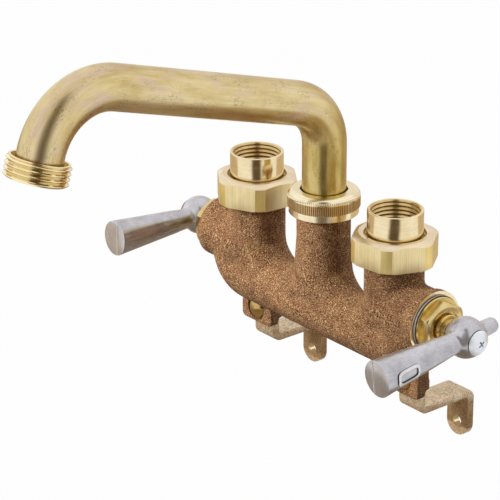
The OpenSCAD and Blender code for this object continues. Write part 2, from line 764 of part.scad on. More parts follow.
valve_body();
spout_tube();
spout_collar();
spout_o_ring();
spout_washer();
spout_nut();
hose_end();
union_nut(-1, left_nut_turn);  // left_union_nut
union_tailpiece(-1);  // left_union_tailpiece
union_gasket(-1);  // left_union_gasket
bonnet(-1);  // left_bonnet
bonnet_gasket(-1);  // left_bonnet_gasket
valve_seat(-1);  // left_valve_seat
seat_washer(-1);  // left_seat_washer
washer_holder(-1);  // left_washer_holder
stem(-1);  // left_stem
stem_o_ring(-1);  // left_stem_o_ring
handle(-1, left_lever_drop);  // left_handle
handle_screw(-1);  // left_handle_screw
leg(-1);  // left_leg
leg_screw(-1);  // left_leg_screw
union_nut(1, right_nut_turn);  // right_union_nut
union_tailpiece(1);  // right_union_tailpiece
union_gasket(1);  // right_union_gasket
bonnet(1);  // right_bonnet
bonnet_gasket(1);  // right_bonnet_gasket
valve_seat(1);  // right_valve_seat
seat_washer(1);  // right_seat_washer
washer_holder(1);  // right_washer_holder
stem(1);  // right_stem
stem_o_ring(1);  // right_stem_o_ring
handle(1, right_lever_drop);  // right_handle
handle_screw(1);  // right_handle_screw
leg(1);  // right_leg
leg_screw(1);  // right_leg_screw
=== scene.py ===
import math
import bmesh
import bpy
from mathutils import Matrix, Vector


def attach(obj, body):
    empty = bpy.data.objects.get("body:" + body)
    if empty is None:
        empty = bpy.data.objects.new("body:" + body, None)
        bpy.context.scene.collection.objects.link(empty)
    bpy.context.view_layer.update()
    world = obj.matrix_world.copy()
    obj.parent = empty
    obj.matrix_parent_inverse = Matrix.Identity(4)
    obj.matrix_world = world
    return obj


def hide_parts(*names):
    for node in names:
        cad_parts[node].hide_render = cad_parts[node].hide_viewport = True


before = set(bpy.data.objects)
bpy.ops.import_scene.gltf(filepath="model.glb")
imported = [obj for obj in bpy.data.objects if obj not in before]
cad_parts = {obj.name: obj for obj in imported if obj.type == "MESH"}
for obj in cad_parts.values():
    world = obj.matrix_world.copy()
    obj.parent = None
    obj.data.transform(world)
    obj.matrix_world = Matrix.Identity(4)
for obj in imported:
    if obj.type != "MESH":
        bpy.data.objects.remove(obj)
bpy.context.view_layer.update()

scene = bpy.context.scene
valveCentre = (0, -0.0358, 0.0645)  # where the valves' axis crosses the riser's, in metres
valveFrame = Matrix.Translation(valveCentre) @ Matrix.Scale(0.001, 4)  # millimetres about that point
sides = ((-1, "left"), (1, "right"))
mirrorX = Matrix.Scale(-1, 4, (1, 0, 0))
alongX = Matrix.Rotation(math.radians(90), 4, "Y")


# Material helpers
noiseSpan = (0.3, 0.7)  # where most of a noise pattern lies


def node(tree, kind, inputs=(), **settings):
    made = tree.nodes.new("ShaderNode" + kind)
    for key, value in settings.items():
        setattr(made, key, value)
    for key, value in dict(inputs).items():
        if isinstance(value, bpy.types.NodeSocket):
            tree.links.new(value, made.inputs[key])
        else:
            made.inputs[key].default_value = value
    return made


def newFinish(name, metallic):
    mat = bpy.data.materials.new(name)
    mat.use_nodes = True
    shader = mat.node_tree.nodes["Principled BSDF"]
    shader.inputs["Metallic"].default_value = metallic
    shader.inputs["IOR"].default_value = 1.5
    return mat, mat.node_tree, shader


def stretched(tree, place, by):
    return node(tree, "VectorMath", {0: place, 1: by}, operation="MULTIPLY").outputs[0]


def ownPlace(tree, own):
    if own:
        return node(tree, "Attribute", attribute_name="own").outputs["Vector"]
    return stretched(tree, node(tree, "TexCoord").outputs["Object"], (1000, 1000, 1000))  # to millimetres


def noise(tree, place, scale, detail, rough, stretch=None):
    at = stretched(tree, place, stretch) if stretch else place
    inputs = {"Vector": at, "Scale": scale, "Detail": detail, "Roughness": rough}
    return node(tree, "TexNoise", inputs).outputs["Fac"]


def ramp(tree, fac, stops):
    made = node(tree, "ValToRGB", {"Fac": fac})
    band = made.color_ramp
    while len(band.elements) < len(stops):
        band.elements.new(0.5)
    for element, (at, colour) in zip(band.elements, stops):
        element.position = at
        element.color = (*colour, 1)
    return made.outputs["Color"]


def grey(value):
    return (value, value, value)


def greyRamp(tree, fac, stops):
    return ramp(tree, fac, [(at, grey(value)) for at, value in stops])


def mixed(tree, fac, a, b, mode="MIX"):
    made = node(tree, "Mix", data_type="RGBA", blend_type=mode)
    for key, value in ((0, fac), (6, a), (7, b)):
        if isinstance(value, bpy.types.NodeSocket):
            tree.links.new(value, made.inputs[key])
        else:
            made.inputs[key].default_value = value if key == 0 else (*value, 1)
    return made.outputs[2]


def multiplied(tree, a, b):
    return mixed(tree, 1.0, a, b, "MULTIPLY")


def ranged(tree, value, lo, hi, outLo, outHi):
    inputs = {"Value": value, "From Min": lo, "From Max": hi, "To Min": outLo, "To Max": outHi}
    return node(tree, "MapRange", inputs).outputs["Result"]


def bumped(tree, height, strength, distance, below=None):
    inputs = {"Height": height, "Strength": strength, "Distance": distance}
    if below is not None:
        inputs["Normal"] = below
    return node(tree, "Bump", inputs).outputs["Normal"]


def axisPart(tree, place, axis, lo, hi):
    parts = node(tree, "SeparateXYZ", {"Vector": place})
    return ranged(tree, parts.outputs[axis], lo, hi, 0.0, 1.0)


def dress(tree, shader, colour, rough, normal):
    for name, value in (("Base Color", colour), ("Roughness", rough), ("Normal", normal)):
        tree.links.new(value, shader.inputs[name])


# Finishes: a pattern is its scale, detail, roughness and any stretch
castBrass = {
    "cloud": (0.13, 4, 0.6), "cluster": (0.2, 3, 0.6), "grain": (2.3, 3, 0.6),
    "fleck": (2.3, 2, 0.6, (1.0, 1.0, 1.3)), "coarse": (0.45, 3, 0.6),
    "base": ((0.34, (0.214, 0.090, 0.048)), (0.50, (0.276, 0.122, 0.061)),
             (0.66, (0.340, 0.161, 0.077))),
    "sandy": ((0.37, 0.12), (0.50, 0.78), (0.63, 1.6)), "spark": ((0.55, 0), (0.64, 1.0)),
    "sparkShare": ((0.36, 0.5), (0.60, 1.0)), "glintColour": (0.98, 0.72, 0.35), "metal": (0.0, 0.1),
    "rough": (0.72, 0.50), "specular": 0.02, "coarseBump": (0.5, 0.0005), "grainBump": (0.9, 0.0003)
}


def castBrassFinish():
    c = castBrass
    mat, tree, shader = newFinish("castBrass", 0.1)
    place = ownPlace(tree, True)
    grain = noise(tree, place, *c["grain"])
    base = ramp(tree, noise(tree, place, *c["cloud"]), c["base"])
    grained = multiplied(tree, base, greyRamp(tree, grain, c["sandy"]))
    # golden flecks: the metal's grains, painted in a bright glint colour as if catching the light
    spark = greyRamp(tree, noise(tree, place, *c["fleck"]), c["spark"])
    shine = multiplied(tree, spark, greyRamp(tree, noise(tree, place, *c["cluster"]), c["sparkShare"]))
    tree.links.new(ranged(tree, shine, 0, 1, *c["metal"]), shader.inputs["Metallic"])
    shader.inputs["Specular IOR Level"].default_value = c["specular"]
    coarse = bumped(tree, noise(tree, place, *c["coarse"]), *c["coarseBump"])
    dress(tree, shader, mixed(tree, shine, grained, c["glintColour"]),
          ranged(tree, grain, *noiseSpan, *c["rough"]), bumped(tree, grain, *c["grainBump"], coarse))
    return mat


spoutBrass = {
    "patch": (1.0, 4, 0.6, (0.13, 0.13, 0.035)), "blush": (1.3, 3, 0.6, (0.10, 0.10, 0.05)),
    "streak": (1.0, 4, 0.7, (1.1, 1.1, 0.05)), "scratch": (1.0, 4, 0.75, (2.6, 2.6, 0.9)),
    "worn": (1.7, 2, 0.5, (0.12, 0.12, 0.07)), "armSpan": (55.0, 90.0),
    "olive": ((0.36, (0.50, 0.37, 0.115)), (0.50, (0.63, 0.48, 0.175)), (0.64, (0.72, 0.57, 0.26))),
    "pale": ((0.36, (0.60, 0.455, 0.185)), (0.50, (0.72, 0.575, 0.29)), (0.64, (0.78, 0.65, 0.38))),
    "blushShare": ((0.50, 0), (0.66, 0.75)), "rosy": (0.68, 0.515, 0.385),
    "drawn": ((0.3, 0.91), (0.7, 1.06)), "wornShare": ((0.46, 0), (0.62, 1)),
    "scratchShare": ((0.52, 0), (0.62, 0.75)), "stain": (0.27, 0.17, 0.075), "rough": (0.36, 0.27),
    "bump": (0.06, 0.0002)
}


def spoutBrassFinish():
    s = spoutBrass
    mat, tree, shader = newFinish("spoutBrass", 1.0)
    place = ownPlace(tree, True)
    patch = noise(tree, place, *s["patch"])
    streak = noise(tree, place, *s["streak"])
    onArm = axisPart(tree, place, 2, *s["armSpan"])
    base = mixed(tree, onArm, ramp(tree, patch, s["olive"]), ramp(tree, patch, s["pale"]))  # paler on the arm: painted light, the arm lit more than the upright
    blush = multiplied(tree, greyRamp(tree, noise(tree, place, *s["blush"]), s["blushShare"]), onArm)
    drawn = multiplied(tree, mixed(tree, blush, base, s["rosy"]), greyRamp(tree, streak, s["drawn"]))
    rubbed = multiplied(tree, greyRamp(tree, noise(tree, place, *s["worn"]), s["wornShare"]),
                        greyRamp(tree, noise(tree, place, *s["scratch"]), s["scratchShare"]))
    dress(tree, shader, mixed(tree, rubbed, drawn, s["stain"]), ranged(tree, streak, *noiseSpan, *s["rough"]),
          bumped(tree, streak, *s["bump"]))
    return mat


lathe = {"own": True, "marks": (1.0, 3, 0.6, (0.05, 0.05, 5.0)), "tint": (0.12, 3, 0.6),
         "shade": ((0.3, 0.90), (0.7, 1.06)), "rough": (1.25, 0.8), "bump": (0.10, 0.0001)}
latheInside = {**lathe, "own": False, "marks": (1.0, 3, 0.6, (5.0, 0.05, 5.0))}
milling = {"own": True, "marks": (1.0, 3, 0.6, (2.2, 2.2, 0.03)), "tint": (0.10, 3, 0.6),
           "shade": ((0.3, 0.88), (0.7, 1.08)), "rough": (1.2, 0.85), "bump": (0.10, 0.0001)}
tintSpan = (0.35, 0.65)  # from the darker to the paler colour


def machinedBrassFinish(name, look, dark, pale, rough):
    mat, tree, shader = newFinish(name, 1.0)
    place = ownPlace(tree, look["own"])
    marks = noise(tree, place, *look["marks"])
    base = ramp(tree, noise(tree, place, *look["tint"]), list(zip(tintSpan, (dark, pale))))
    marked = multiplied(tree, base, greyRamp(tree, marks, look["shade"]))
    dull, bright = (share * rough for share in look["rough"])
    dress(tree, shader, marked, ranged(tree, marks, *noiseSpan, dull, bright),
          bumped(tree, marks, *look["bump"]))
    return mat


legBrass = {
    "cloud": (0.22, 3, 0.6), "grain": (1.2, 4, 0.7), "pit": (1.0, 2, 0.55),
    "base": ((0.35, (0.66, 0.50, 0.31)), (0.65, (0.85, 0.70, 0.50))),
    "grained": ((0.34, 0.58), (0.50, 1.0), (0.66, 1.25)), "tabSpan": (-53.5, -50.0),
    "tabShade": (0.70, 0.59, 0.47), "pitShare": ((0.63, 0), (0.70, 0.9)),
    "pitDirt": (0.07, 0.045, 0.03), "rough": (0.52, 0.38), "bump": (0.5, 0.0003)
}


def legBrassFinish():
    g = legBrass
    mat, tree, shader = newFinish("legBrass", 0.7)
    place = ownPlace(tree, True)
    grain = noise(tree, place, *g["grain"])
    base = ramp(tree, noise(tree, place, *g["cloud"]), g["base"])
    grained = multiplied(tree, base, greyRamp(tree, grain, g["grained"]))
    tab = axisPart(tree, place, 2, *g["tabSpan"])
    tabShaded = multiplied(tree, grained, mixed(tree, tab, g["tabShade"], grey(1.0)))  # browner hanging tab: painted shade, as the tab hangs in the body's shadow
    pitted = mixed(tree, greyRamp(tree, noise(tree, place, *g["pit"]), g["pitShare"]), tabShaded, g["pitDirt"])
    dress(tree, shader, pitted, ranged(tree, grain, *noiseSpan, *g["rough"]), bumped(tree, grain, *g["bump"]))
    return mat


dieCast = {
    "cloud": (0.12, 3, 0.6), "tumble": (1.2, 4, 0.7), "brush": (1.0, 3, 0.6, (1.6, 0.35, 1.6)),
    "tumbled": ((0.32, 0.92), (0.68, 1.05)), "brushed": ((0.32, 0.90), (0.68, 1.07)),
    "rough": (0.26, 0.18), "bump": (0.12, 0.0002)
}


def dieCastFinish(name, dark, pale):
    d = dieCast
    mat, tree, shader = newFinish(name, 0.7)
    place = ownPlace(tree, True)
    tumble = noise(tree, place, *d["tumble"])
    base = ramp(tree, noise(tree, place, *d["cloud"]), list(zip(tintSpan, (dark, pale))))
    tumbled = multiplied(tree, base, greyRamp(tree, tumble, d["tumbled"]))
    brushed = multiplied(tree, tumbled, greyRamp(tree, noise(tree, place, *d["brush"]), d["brushed"]))
    dress(tree, shader, brushed, ranged(tree, tumble, *noiseSpan, *d["rough"]),
          bumped(tree, tumble, *d["bump"]))
    return mat


chromeScrew = {"wipe": (0.8, 3, 0.6), "dark": (0.83, 0.86, 0.92), "pale": (0.91, 0.94, 0.99),
               "rough": (0.42, 0.34)}


def chromeFinish():
    c = chromeScrew
    mat, tree, shader = newFinish("chromeScrew", 0.8)
    wipe = noise(tree, ownPlace(tree, True), *c["wipe"])
    colour = ramp(tree, wipe, list(zip(noiseSpan, (c["dark"], c["pale"]))))
    tree.links.new(colour, shader.inputs["Base Color"])
    tree.links.new(ranged(tree, wipe, *noiseSpan, *c["rough"]), shader.inputs["Roughness"])
    return mat


sealFibre = (0.9, 3, 0.6)


def sealFinish(name, dark, pale, rough):
    mat, tree, shader = newFinish(name, 0.0)
    fibre = noise(tree, ownPlace(tree, False), *sealFibre)
    tree.links.new(ramp(tree, fibre, list(zip(noiseSpan, (dark, pale)))), shader.inputs["Base Color"])
    shader.inputs["Roughness"].default_value = rough
    return mat


bonnetGasket = {"foot": 70.1, "top": 71.3, "bore": 9.65, "radius": 12.25, "edge": 0.12}
fibreGasket = {"dark": (0.46, 0.40, 0.39), "pale": (0.58, 0.52, 0.51), "rough": 0.6,
               "corners": ((0.10, 0.06), (0.30, 1.0), (0.70, 1.0), (0.90, 0.06))}


def fibreFinish():
    g = fibreGasket
    mat, tree, shader = newFinish("fibreGasket", 0.0)
    place = ownPlace(tree, True)
    base = ramp(tree, noise(tree, place, *sealFibre), list(zip(noiseSpan, (g["dark"], g["pale"]))))
    height = axisPart(tree, place, 2, bonnetGasket["foot"], bonnetGasket["top"])
    edge = greyRamp(tree, height, g["corners"])  # painted shade in both corners, where the gasket meets the port and the flange
    tree.links.new(multiplied(tree, base, edge), shader.inputs["Base Color"])
    shader.inputs["Roughness"].default_value = g["rough"]
    return mat


machined = {
    "turned": ("turnedBrass", lathe, (0.83, 0.68, 0.40), (0.93, 0.79, 0.52), 0.14),
    "turnedInside": ("turnedBrassInside", latheInside, (0.74, 0.57, 0.27), (0.80, 0.64, 0.35), 0.2),
    # pipeThread: darker brass, painted shade inside the tailpiece bore
    "pipeThread": ("pipeThreadBrass", lathe, (0.60, 0.42, 0.17), (0.74, 0.55, 0.27), 0.24),
    "bonnetBrass": ("bonnetCastBrass", lathe, (0.66, 0.48, 0.17), (0.82, 0.65, 0.32), 0.22),
    "hoseBrass": ("hoseThreadBrass", lathe, (0.92, 0.78, 0.47), (0.98, 0.88, 0.60), 0.10),
    # threadRoot: darker brass, painted shade in the hose thread's roots and top cup
    "threadRoot": ("threadRootBrass", lathe, (0.62, 0.44, 0.17), (0.74, 0.56, 0.27), 0.16),
    # nutShoulder: paler, less saturated brass, a painted sheen on the spout nut's shoulder
    "nutShoulder": ("nutShoulderBrass", lathe, (0.92, 0.80, 0.54), (0.98, 0.88, 0.64), 0.2),
    "knurl": ("knurlBrass", lathe, (0.90, 0.68, 0.36), (0.97, 0.78, 0.47), 0.36),
    # knurlGroove: darker brass, painted shade between the knurl's teeth
    "knurlGroove": ("knurlGrooveBrass", lathe, (0.50, 0.31, 0.11), (0.62, 0.41, 0.17), 0.45),
    "nut": ("nutBrass", milling, (0.84, 0.69, 0.36), (0.92, 0.77, 0.46), 0.40),
    # nutTop: paler brass, painted light on the union nuts' upward faces; nutLand: deeper gold, painted shade
    # on the lands
    "nutTop": ("nutTopBrass", lathe, (0.84, 0.69, 0.47), (0.92, 0.78, 0.58), 0.30),
    "nutLand": ("nutLandBrass", milling, (0.86, 0.68, 0.26), (0.94, 0.76, 0.34), 0.50),
    # screwShade: darker brass for the leg screws, painted shade of the counterbore they sit in
    "screwShade": ("screwShadeBrass", lathe, (0.50, 0.34, 0.12), (0.64, 0.46, 0.19), 0.16)
}
finish = {key: machinedBrassFinish(*spec) for key, spec in machined.items()}
finish.update({"cast": castBrassFinish(), "spout": spoutBrassFinish(), "leg": legBrassFinish(),
               "dieCast": dieCastFinish("greyDieCast", (0.50, 0.49, 0.52), (0.66, 0.645, 0.685)),
               # leverEnd: darker copy of the grey die-cast, painted shade on the lever's end face
               "leverEnd": dieCastFinish("leverEndDieCast", (0.46, 0.425, 0.415), (0.56, 0.52, 0.51)),
               # leverMark: paler grey, a painted highlight on the raised ring's top and the parting seam
               "leverMark": dieCastFinish("leverMarkDieCast", (0.80, 0.79, 0.81), (0.92, 0.91, 0.93)),
               "chrome": chromeFinish(), "fibre": fibreFinish(),
               # near black: painted shade lines along the lever ring's walls and under the screw heads' rims
               "groove": sealFinish("shadeLineDark", (0.025, 0.022, 0.022), (0.06, 0.055, 0.055), 0.6),
               "greySeal": sealFinish("greySeal", (0.12, 0.115, 0.11), (0.20, 0.19, 0.185), 0.65),
               "rubber": sealFinish("blackRubber", grey(0.015), grey(0.03), 0.7)})
print("finishes made")


# Shared shaping
weldGap = 0.0005  # points of a turned outline closer than this are one


def turn(bm, outline, steps, closed=True):
    verts = [bm.verts.new((r, 0, z)) for r, z in outline]
    edges = [bm.edges.new(pair) for pair in zip(verts, verts[1:] + (verts[:1] if closed else []))]
    bmesh.ops.spin(bm, geom=verts + edges, cent=(0, 0, 0), axis=(0, 0, 1), dvec=(0, 0, 0), angle=2 * math.pi,
                   steps=steps, use_merge=True)
    bmesh.ops.remove_doubles(bm, verts=bm.verts, dist=weldGap)
    bmesh.ops.recalc_face_normals(bm, faces=bm.faces)


def soften(bm, width, angle, segments=2):
    sharp = [e for e in bm.edges if len(e.link_faces) == 2 and e.calc_face_angle(0) > math.radians(angle)]
    bmesh.ops.bevel(bm, geom=sharp, offset=width, offset_type="OFFSET", segments=segments, profile=0.5,
                    affect="EDGES", clamp_overlap=True, material=-1)


def sliceOff(bm, point, out, dist=0.0, geom=None):
    bmesh.ops.bisect_plane(bm, geom=geom or bm.verts[:] + bm.edges[:] + bm.faces[:], dist=dist,
                           plane_co=point, plane_no=out, clear_outer=True)


def capHoles(bm):
    return bmesh.ops.holes_fill(bm, edges=[e for e in bm.edges if e.is_boundary], sides=0)["faces"]


def millFlats(bm, distance, firstAngle):
    for k in range(6):
        angle = math.radians(firstAngle + 60 * k)
        out = Vector((math.cos(angle), math.sin(angle), 0))
        sliceOff(bm, out * distance, out, 0.0001)
        capHoles(bm)


def meshOf(obj):
    view = bpy.context.evaluated_depsgraph_get()
    return bpy.data.meshes.new_from_object(obj.evaluated_get(view))


def looseObject(bm, name):
    mesh = bpy.data.meshes.new(name)
    bm.to_mesh(mesh)
    bm.free()
    obj = bpy.data.objects.new(name, mesh)
    scene.collection.objects.link(obj)
    return obj


def joinTo(bm, part):
    joined = bpy.data.meshes.new("joined")
    part.to_mesh(joined)
    part.free()
    bm.from_mesh(joined)
    bpy.data.meshes.remove(joined)


def fused(bm, voxel):
    obj = looseObject(bm, "fusing")
    fuse = obj.modifiers.new("fuse", "REMESH")
    fuse.mode = "VOXEL"
    fuse.voxel_size = voxel
    result = bmesh.new()
    result.from_mesh(meshOf(obj))
    bpy.data.objects.remove(obj)
    return result


def bored(bm, cutters):
    obj = looseObject(bm, "boring")
    tools = []
    for cutter in cutters:
        tools.append(looseObject(cutter, "cutter"))
        bore = obj.modifiers.new("bore", "BOOLEAN")
        bore.operation = "DIFFERENCE"
        bore.solver = "EXACT"
        bore.object = tools[-1]
    result = bmesh.new()
    result.from_mesh(meshOf(obj))
    for made in [obj] + tools:
        bpy.data.objects.remove(made)
    return result


def rod(bm, radius, start, end, radiusEnd=None, steps=64):
    start, end = Vector(start), Vector(end)
    way = end - start
    place = Matrix.Translation((start + end) / 2) @ way.to_track_quat("Z", "Y").to_matrix().to_4x4()
    bmesh.ops.create_cone(bm, cap_ends=True, segments=steps, radius1=radius,
                          radius2=radius if radiusEnd is None else radiusEnd, depth=way.length, matrix=place)


def ball(bm, radius, steps, place=Matrix()):
    bmesh.ops.create_uvsphere(bm, u_segments=steps, v_segments=steps // 2, radius=radius, matrix=place)


def block(bm, low, high):
    low, high = Vector(low), Vector(high)
    place = Matrix.Translation((low + high) / 2) @ Matrix.Diagonal((*(high - low), 1))
    bmesh.ops.create_cube(bm, size=1, matrix=place)


def rotated(bm, degrees, axis):
    turning = Matrix.Rotation(math.radians(degrees), 3, axis)
    bmesh.ops.rotate(bm, cent=(0, 0, 0), matrix=turning, verts=bm.verts)


def smoothed(bm, times, verts=None):
    for _ in range(times):
        bmesh.ops.smooth_vert(bm, verts=verts or bm.verts, factor=0.5, use_axis_x=True, use_axis_y=True,
                              use_axis_z=True)


def domePoints(radius, rise, height, steps):
    domeRadius = (radius ** 2 + rise ** 2) / (2 * rise)
    sweep = math.asin(radius / domeRadius)
    angles = [sweep * k / steps for k in range(steps, -1, -1)]
    return [(domeRadius * math.sin(a), height - domeRadius * (1 - math.cos(a))) for a in angles]


def onSide(side, place):
    return place if side > 0 else mirrorX @ place


def keepOwn(bm):
    own = bm.verts.layers.float_vector.new("own")
    for v in bm.verts:
        v[own] = v.co


def makePiece(bm, piece, cadNode, body, materials, place=Matrix(), angle=30):
    if "own" not in bm.verts.layers.float_vector:
        keepOwn(bm)
    bmesh.ops.transform(bm, matrix=valveFrame @ place, verts=bm.verts)
    bmesh.ops.recalc_face_normals(bm, faces=bm.faces)
    obj = looseObject(bm, piece)
    obj.data.shade_smooth()
    obj.data.set_sharp_from_angle(angle=math.radians(angle))
    for mat in materials:
        obj.data.materials.append(finish[mat])
    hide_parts(cadNode)
    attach(obj, body)


# Spout tube
spoutTube = {
    "outer": 9.505, "inner": 8.325, "foot": 6.0, "bendStart": 58.9, "baseRadius": 22.5,
    "armAngle": 16.2, "armLength": 96.0, "tipRadius": 28.6, "tipTurn": 89.0, "tipLength": 9.8,
    "sides": 80, "spacing": 1.6
}


def spoutStations():
    t = spoutTube
    stations = []

    def straight(place, length, skipFirst):
        count = max(1, round(length / t["spacing"]))
        for i in range(skipFirst, count + 1):
            stations.append(place @ Matrix.Translation((0, 0, length * i / count)))

    def bend(place, radius, angle):
        count = round(radius * math.radians(angle) / t["spacing"])
        centre = place @ Matrix.Translation((0, -radius, 0))
        for i in range(1, count + 1):
            swing = Matrix.Rotation(math.radians(angle) * i / count, 4, "X")
            stations.append(centre @ swing @ Matrix.Translation((0, radius, 0)))

    straight(Matrix.Translation((0, 0, t["foot"])), t["bendStart"] - t["foot"], 0)
    bend(stations[-1], t["baseRadius"], 90 - t["armAngle"])
    straight(stations[-1], t["armLength"], 1)
    bend(stations[-1], t["tipRadius"], t["tipTurn"])
    tip = stations[-1]
    straight(tip, t["tipLength"], 1)
    return stations, tip


def makeSpoutTube():
    stations, tip = spoutStations()
    lengths = [0.0]
    for a, b in zip(stations, stations[1:]):
        lengths.append(lengths[-1] + (b.translation - a.translation).length)
    walls = [(m, spoutTube["outer"], s) for m, s in zip(stations, lengths)]
    walls += [(m, spoutTube["inner"], s) for m, s in reversed(list(zip(stations, lengths)))]
    bm = bmesh.new()
    own = bm.verts.layers.float_vector.new("own")
    ring = bmesh.ops.create_circle(bm, cap_ends=False, radius=1, segments=spoutTube["sides"])["verts"]
    edges = bm.edges[:]
    footEdges = edges
    before = Matrix()
    for k, (m, radius, s) in enumerate(walls):
        if k:
            grown = bmesh.ops.extrude_edge_only(bm, edges=edges)["geom"]
            ring = [g for g in grown if isinstance(g, bmesh.types.BMVert)]
            inRing = set(ring)
            edges = [g for g in grown if isinstance(g, bmesh.types.BMEdge) and set(g.verts) <= inRing]
        here = m @ Matrix.Diagonal((radius, radius, 1, 1))
        bmesh.ops.transform(bm, matrix=here @ before.inverted(), verts=ring)
        back = m.inverted()
        for v in ring:
            flat = back @ v.co
            v[own] = (flat.x, flat.y, s)  # across the tube, and along it
        before = here
    bmesh.ops.bridge_loops(bm, edges=list(footEdges) + list(edges))
    makePiece(bm, "bentTube", "spout_tube", "spout", ["spout"])
    return tip


tipFrame = makeSpoutTube()
print("spout tube made")

# Hose end
hoseEnd = {
    "top": 2.2, "end": 11.0, "crest": 13.1, "root": 11.85, "rimOuter": 12.35, "rim": 0.35, "rimFoot": 0.6,
    "cup": 11.3, "cupDepth": 2.4, "bore": 9.56, "mouth": 9.2, "tubeStop": 1.2, "endRound": 0.3,
    "firstCrest": 3.59, "pitch": 2.14, "crests": 4, "land": 0.16, "gap": 0.62, "sides": 112,
    "edge": 0.10, "edgeAngle": 35
}
hoseRecessShade = {"touch": 0.05, "grooveDepth": 0.25, "grooveTop": 0.5, "grooveEnd": 0.8, "cupTop": 0.4,
            "cupEnd": 1.3}


def makeHoseEnd():
    h, d = hoseEnd, hoseRecessShade
    stop, cupFoot = h["end"] - h["tubeStop"], h["top"] + h["cupDepth"]
    outline = [(h["bore"], stop), (h["bore"], cupFoot), (h["cup"], cupFoot), (h["cup"], h["top"]),
               (h["rimOuter"], h["top"]), (h["rimOuter"], h["top"] + h["rim"]),
               (h["root"], h["top"] + h["rimFoot"])]
    for k in range(h["crests"]):
        at = h["firstCrest"] + k * h["pitch"]
        outline += [(h["root"], at - h["gap"]), (h["crest"], at - h["land"]), (h["crest"], at + h["land"])]
        if k < h["crests"] - 1:
            outline.append((h["root"], at + h["gap"]))
    outline += [(h["rimOuter"], h["end"] - h["rim"]), (h["rimOuter"] - h["endRound"], h["end"]),
                (h["mouth"], h["end"]), (h["mouth"], stop)]
    bm = bmesh.new()
    turn(bm, outline, h["sides"])
    # thread roots and the top cup take the darker threadRoot brass: painted shade in the recesses
    for f in bm.faces:
        middle = f.calc_center_median()
        out, down, up = middle.xy.length, middle.z - h["top"], h["end"] - middle.z
        inGroove = (-d["touch"] < out - h["root"] < d["grooveDepth"]
                    and down > d["grooveTop"] and up > d["grooveEnd"])
        inCup = out < h["cup"] + d["touch"] and down > d["cupTop"] and up > d["cupEnd"]
        f.material_index = 1 if inGroove or inCup else 0
    soften(bm, h["edge"], h["edgeAngle"])
    makePiece(bm, "threadedTip", "hose_end", "spout", ["hoseBrass", "threadRoot"], tipFrame)


makeHoseEnd()

# Spout nut
spoutNut = {
    "bottom": 28.1, "top": 38.8, "radius": 15.7, "shoulder": 3.1, "shoulderSteps": 9, "thread": 11.45,
    "lipHole": 10.15, "lip": 36.6, "lipOut": 0.25, "lipDown": 0.3, "skirt": 15.05, "chamfer": 0.35,
    "knurlLow": 31.4, "knurlHigh": 35.7, "stepBelow": 0.2, "stepAbove": 0.15, "knurlDepth": 0.42,
    "teeth": 110, "margin": 0.1, "runOut": 0.2
}


def makeSpoutNut():
    n = spoutNut
    outline = [(n["thread"], n["bottom"]), (n["skirt"] - n["chamfer"], n["bottom"]),
               (n["skirt"], n["bottom"] + n["chamfer"]), (n["skirt"], n["knurlLow"] - n["stepBelow"]),
               (n["radius"], n["knurlLow"] + n["stepAbove"])]
    for k in range(n["shoulderSteps"] + 1):
        angle = math.radians(90 * k / n["shoulderSteps"])
        outline.append((n["radius"] - n["shoulder"] * (1 - math.cos(angle)),
                        n["top"] - n["shoulder"] * (1 - math.sin(angle))))
    outline += [(n["lipHole"] + n["lipOut"], n["top"]), (n["lipHole"], n["top"] - n["lipDown"]),
                (n["lipHole"], n["lip"]), (n["thread"], n["lip"])]
    bm = bmesh.new()
    turn(bm, outline, 4 * n["teeth"])
    root = n["radius"] - n["knurlDepth"]
    step = math.pi / (2 * n["teeth"])
    for v in bm.verts:
        r = v.co.xy.length
        if r > root and round(math.atan2(v.co.y, v.co.x) / step) % 4 > 1:
            v.co.xy *= root / r  # groove between two teeth, run out into the shoulder
    # the shoulder takes the paler nutShoulder brass as a painted sheen; the knurl grooves take the darker
    # brass as painted shade
    for f in bm.faces:
        middle = f.calc_center_median()
        out = middle.xy.length
        knurled = out > root - n["margin"] and n["knurlLow"] < middle.z < n["knurlHigh"] + n["runOut"]
        f.material_index = 0 if not knurled else 1 if out > n["radius"] - n["margin"] else 2
    makePiece(bm, "knurledNut", "spout_nut", "faucet_body",
              ["nutShoulder", "knurl", "knurlGroove"])


makeSpoutNut()
print("hose end and spout nut made")

# Inlet unions
unionNut = {
    "bottom": 20.8, "top": 32.8, "radius": 18.45, "halfFlats": 17.02, "chamfer": 1.6, "topRadius": 15.25,
    "footChamfer": 0.4, "thread": 15.45, "hole": 13.0, "holeChamfer": 0.35, "lip": 29.8,
    "turn": {"left": 25, "right": 7}, "spacing": 45, "sides": 120, "landDepth": 0.3, "edge": 0.22,
    "edgeAngle": 12
}
tailpiece = {
    "foot": 26.8, "flange": 29.7, "flangeRadius": 15.0, "radius": 11.8, "top": 43.0, "bore": 8.0,
    "threadFoot": 31.0, "crest": 9.55, "root": 10.35, "pitch": 1.814, "ridges": 6, "firstRidge": 0.5,
    "crestEnd": 0.3, "rootStart": 0.85, "rootEnd": 1.15, "mouthIn": 0.2, "mouthDepth": 0.85,
    "rimInner": 10.75, "rimChamfer": 0.35, "rimEdge": 0.1, "sides": 112, "edge": 0.08, "edgeAngle": 35
}


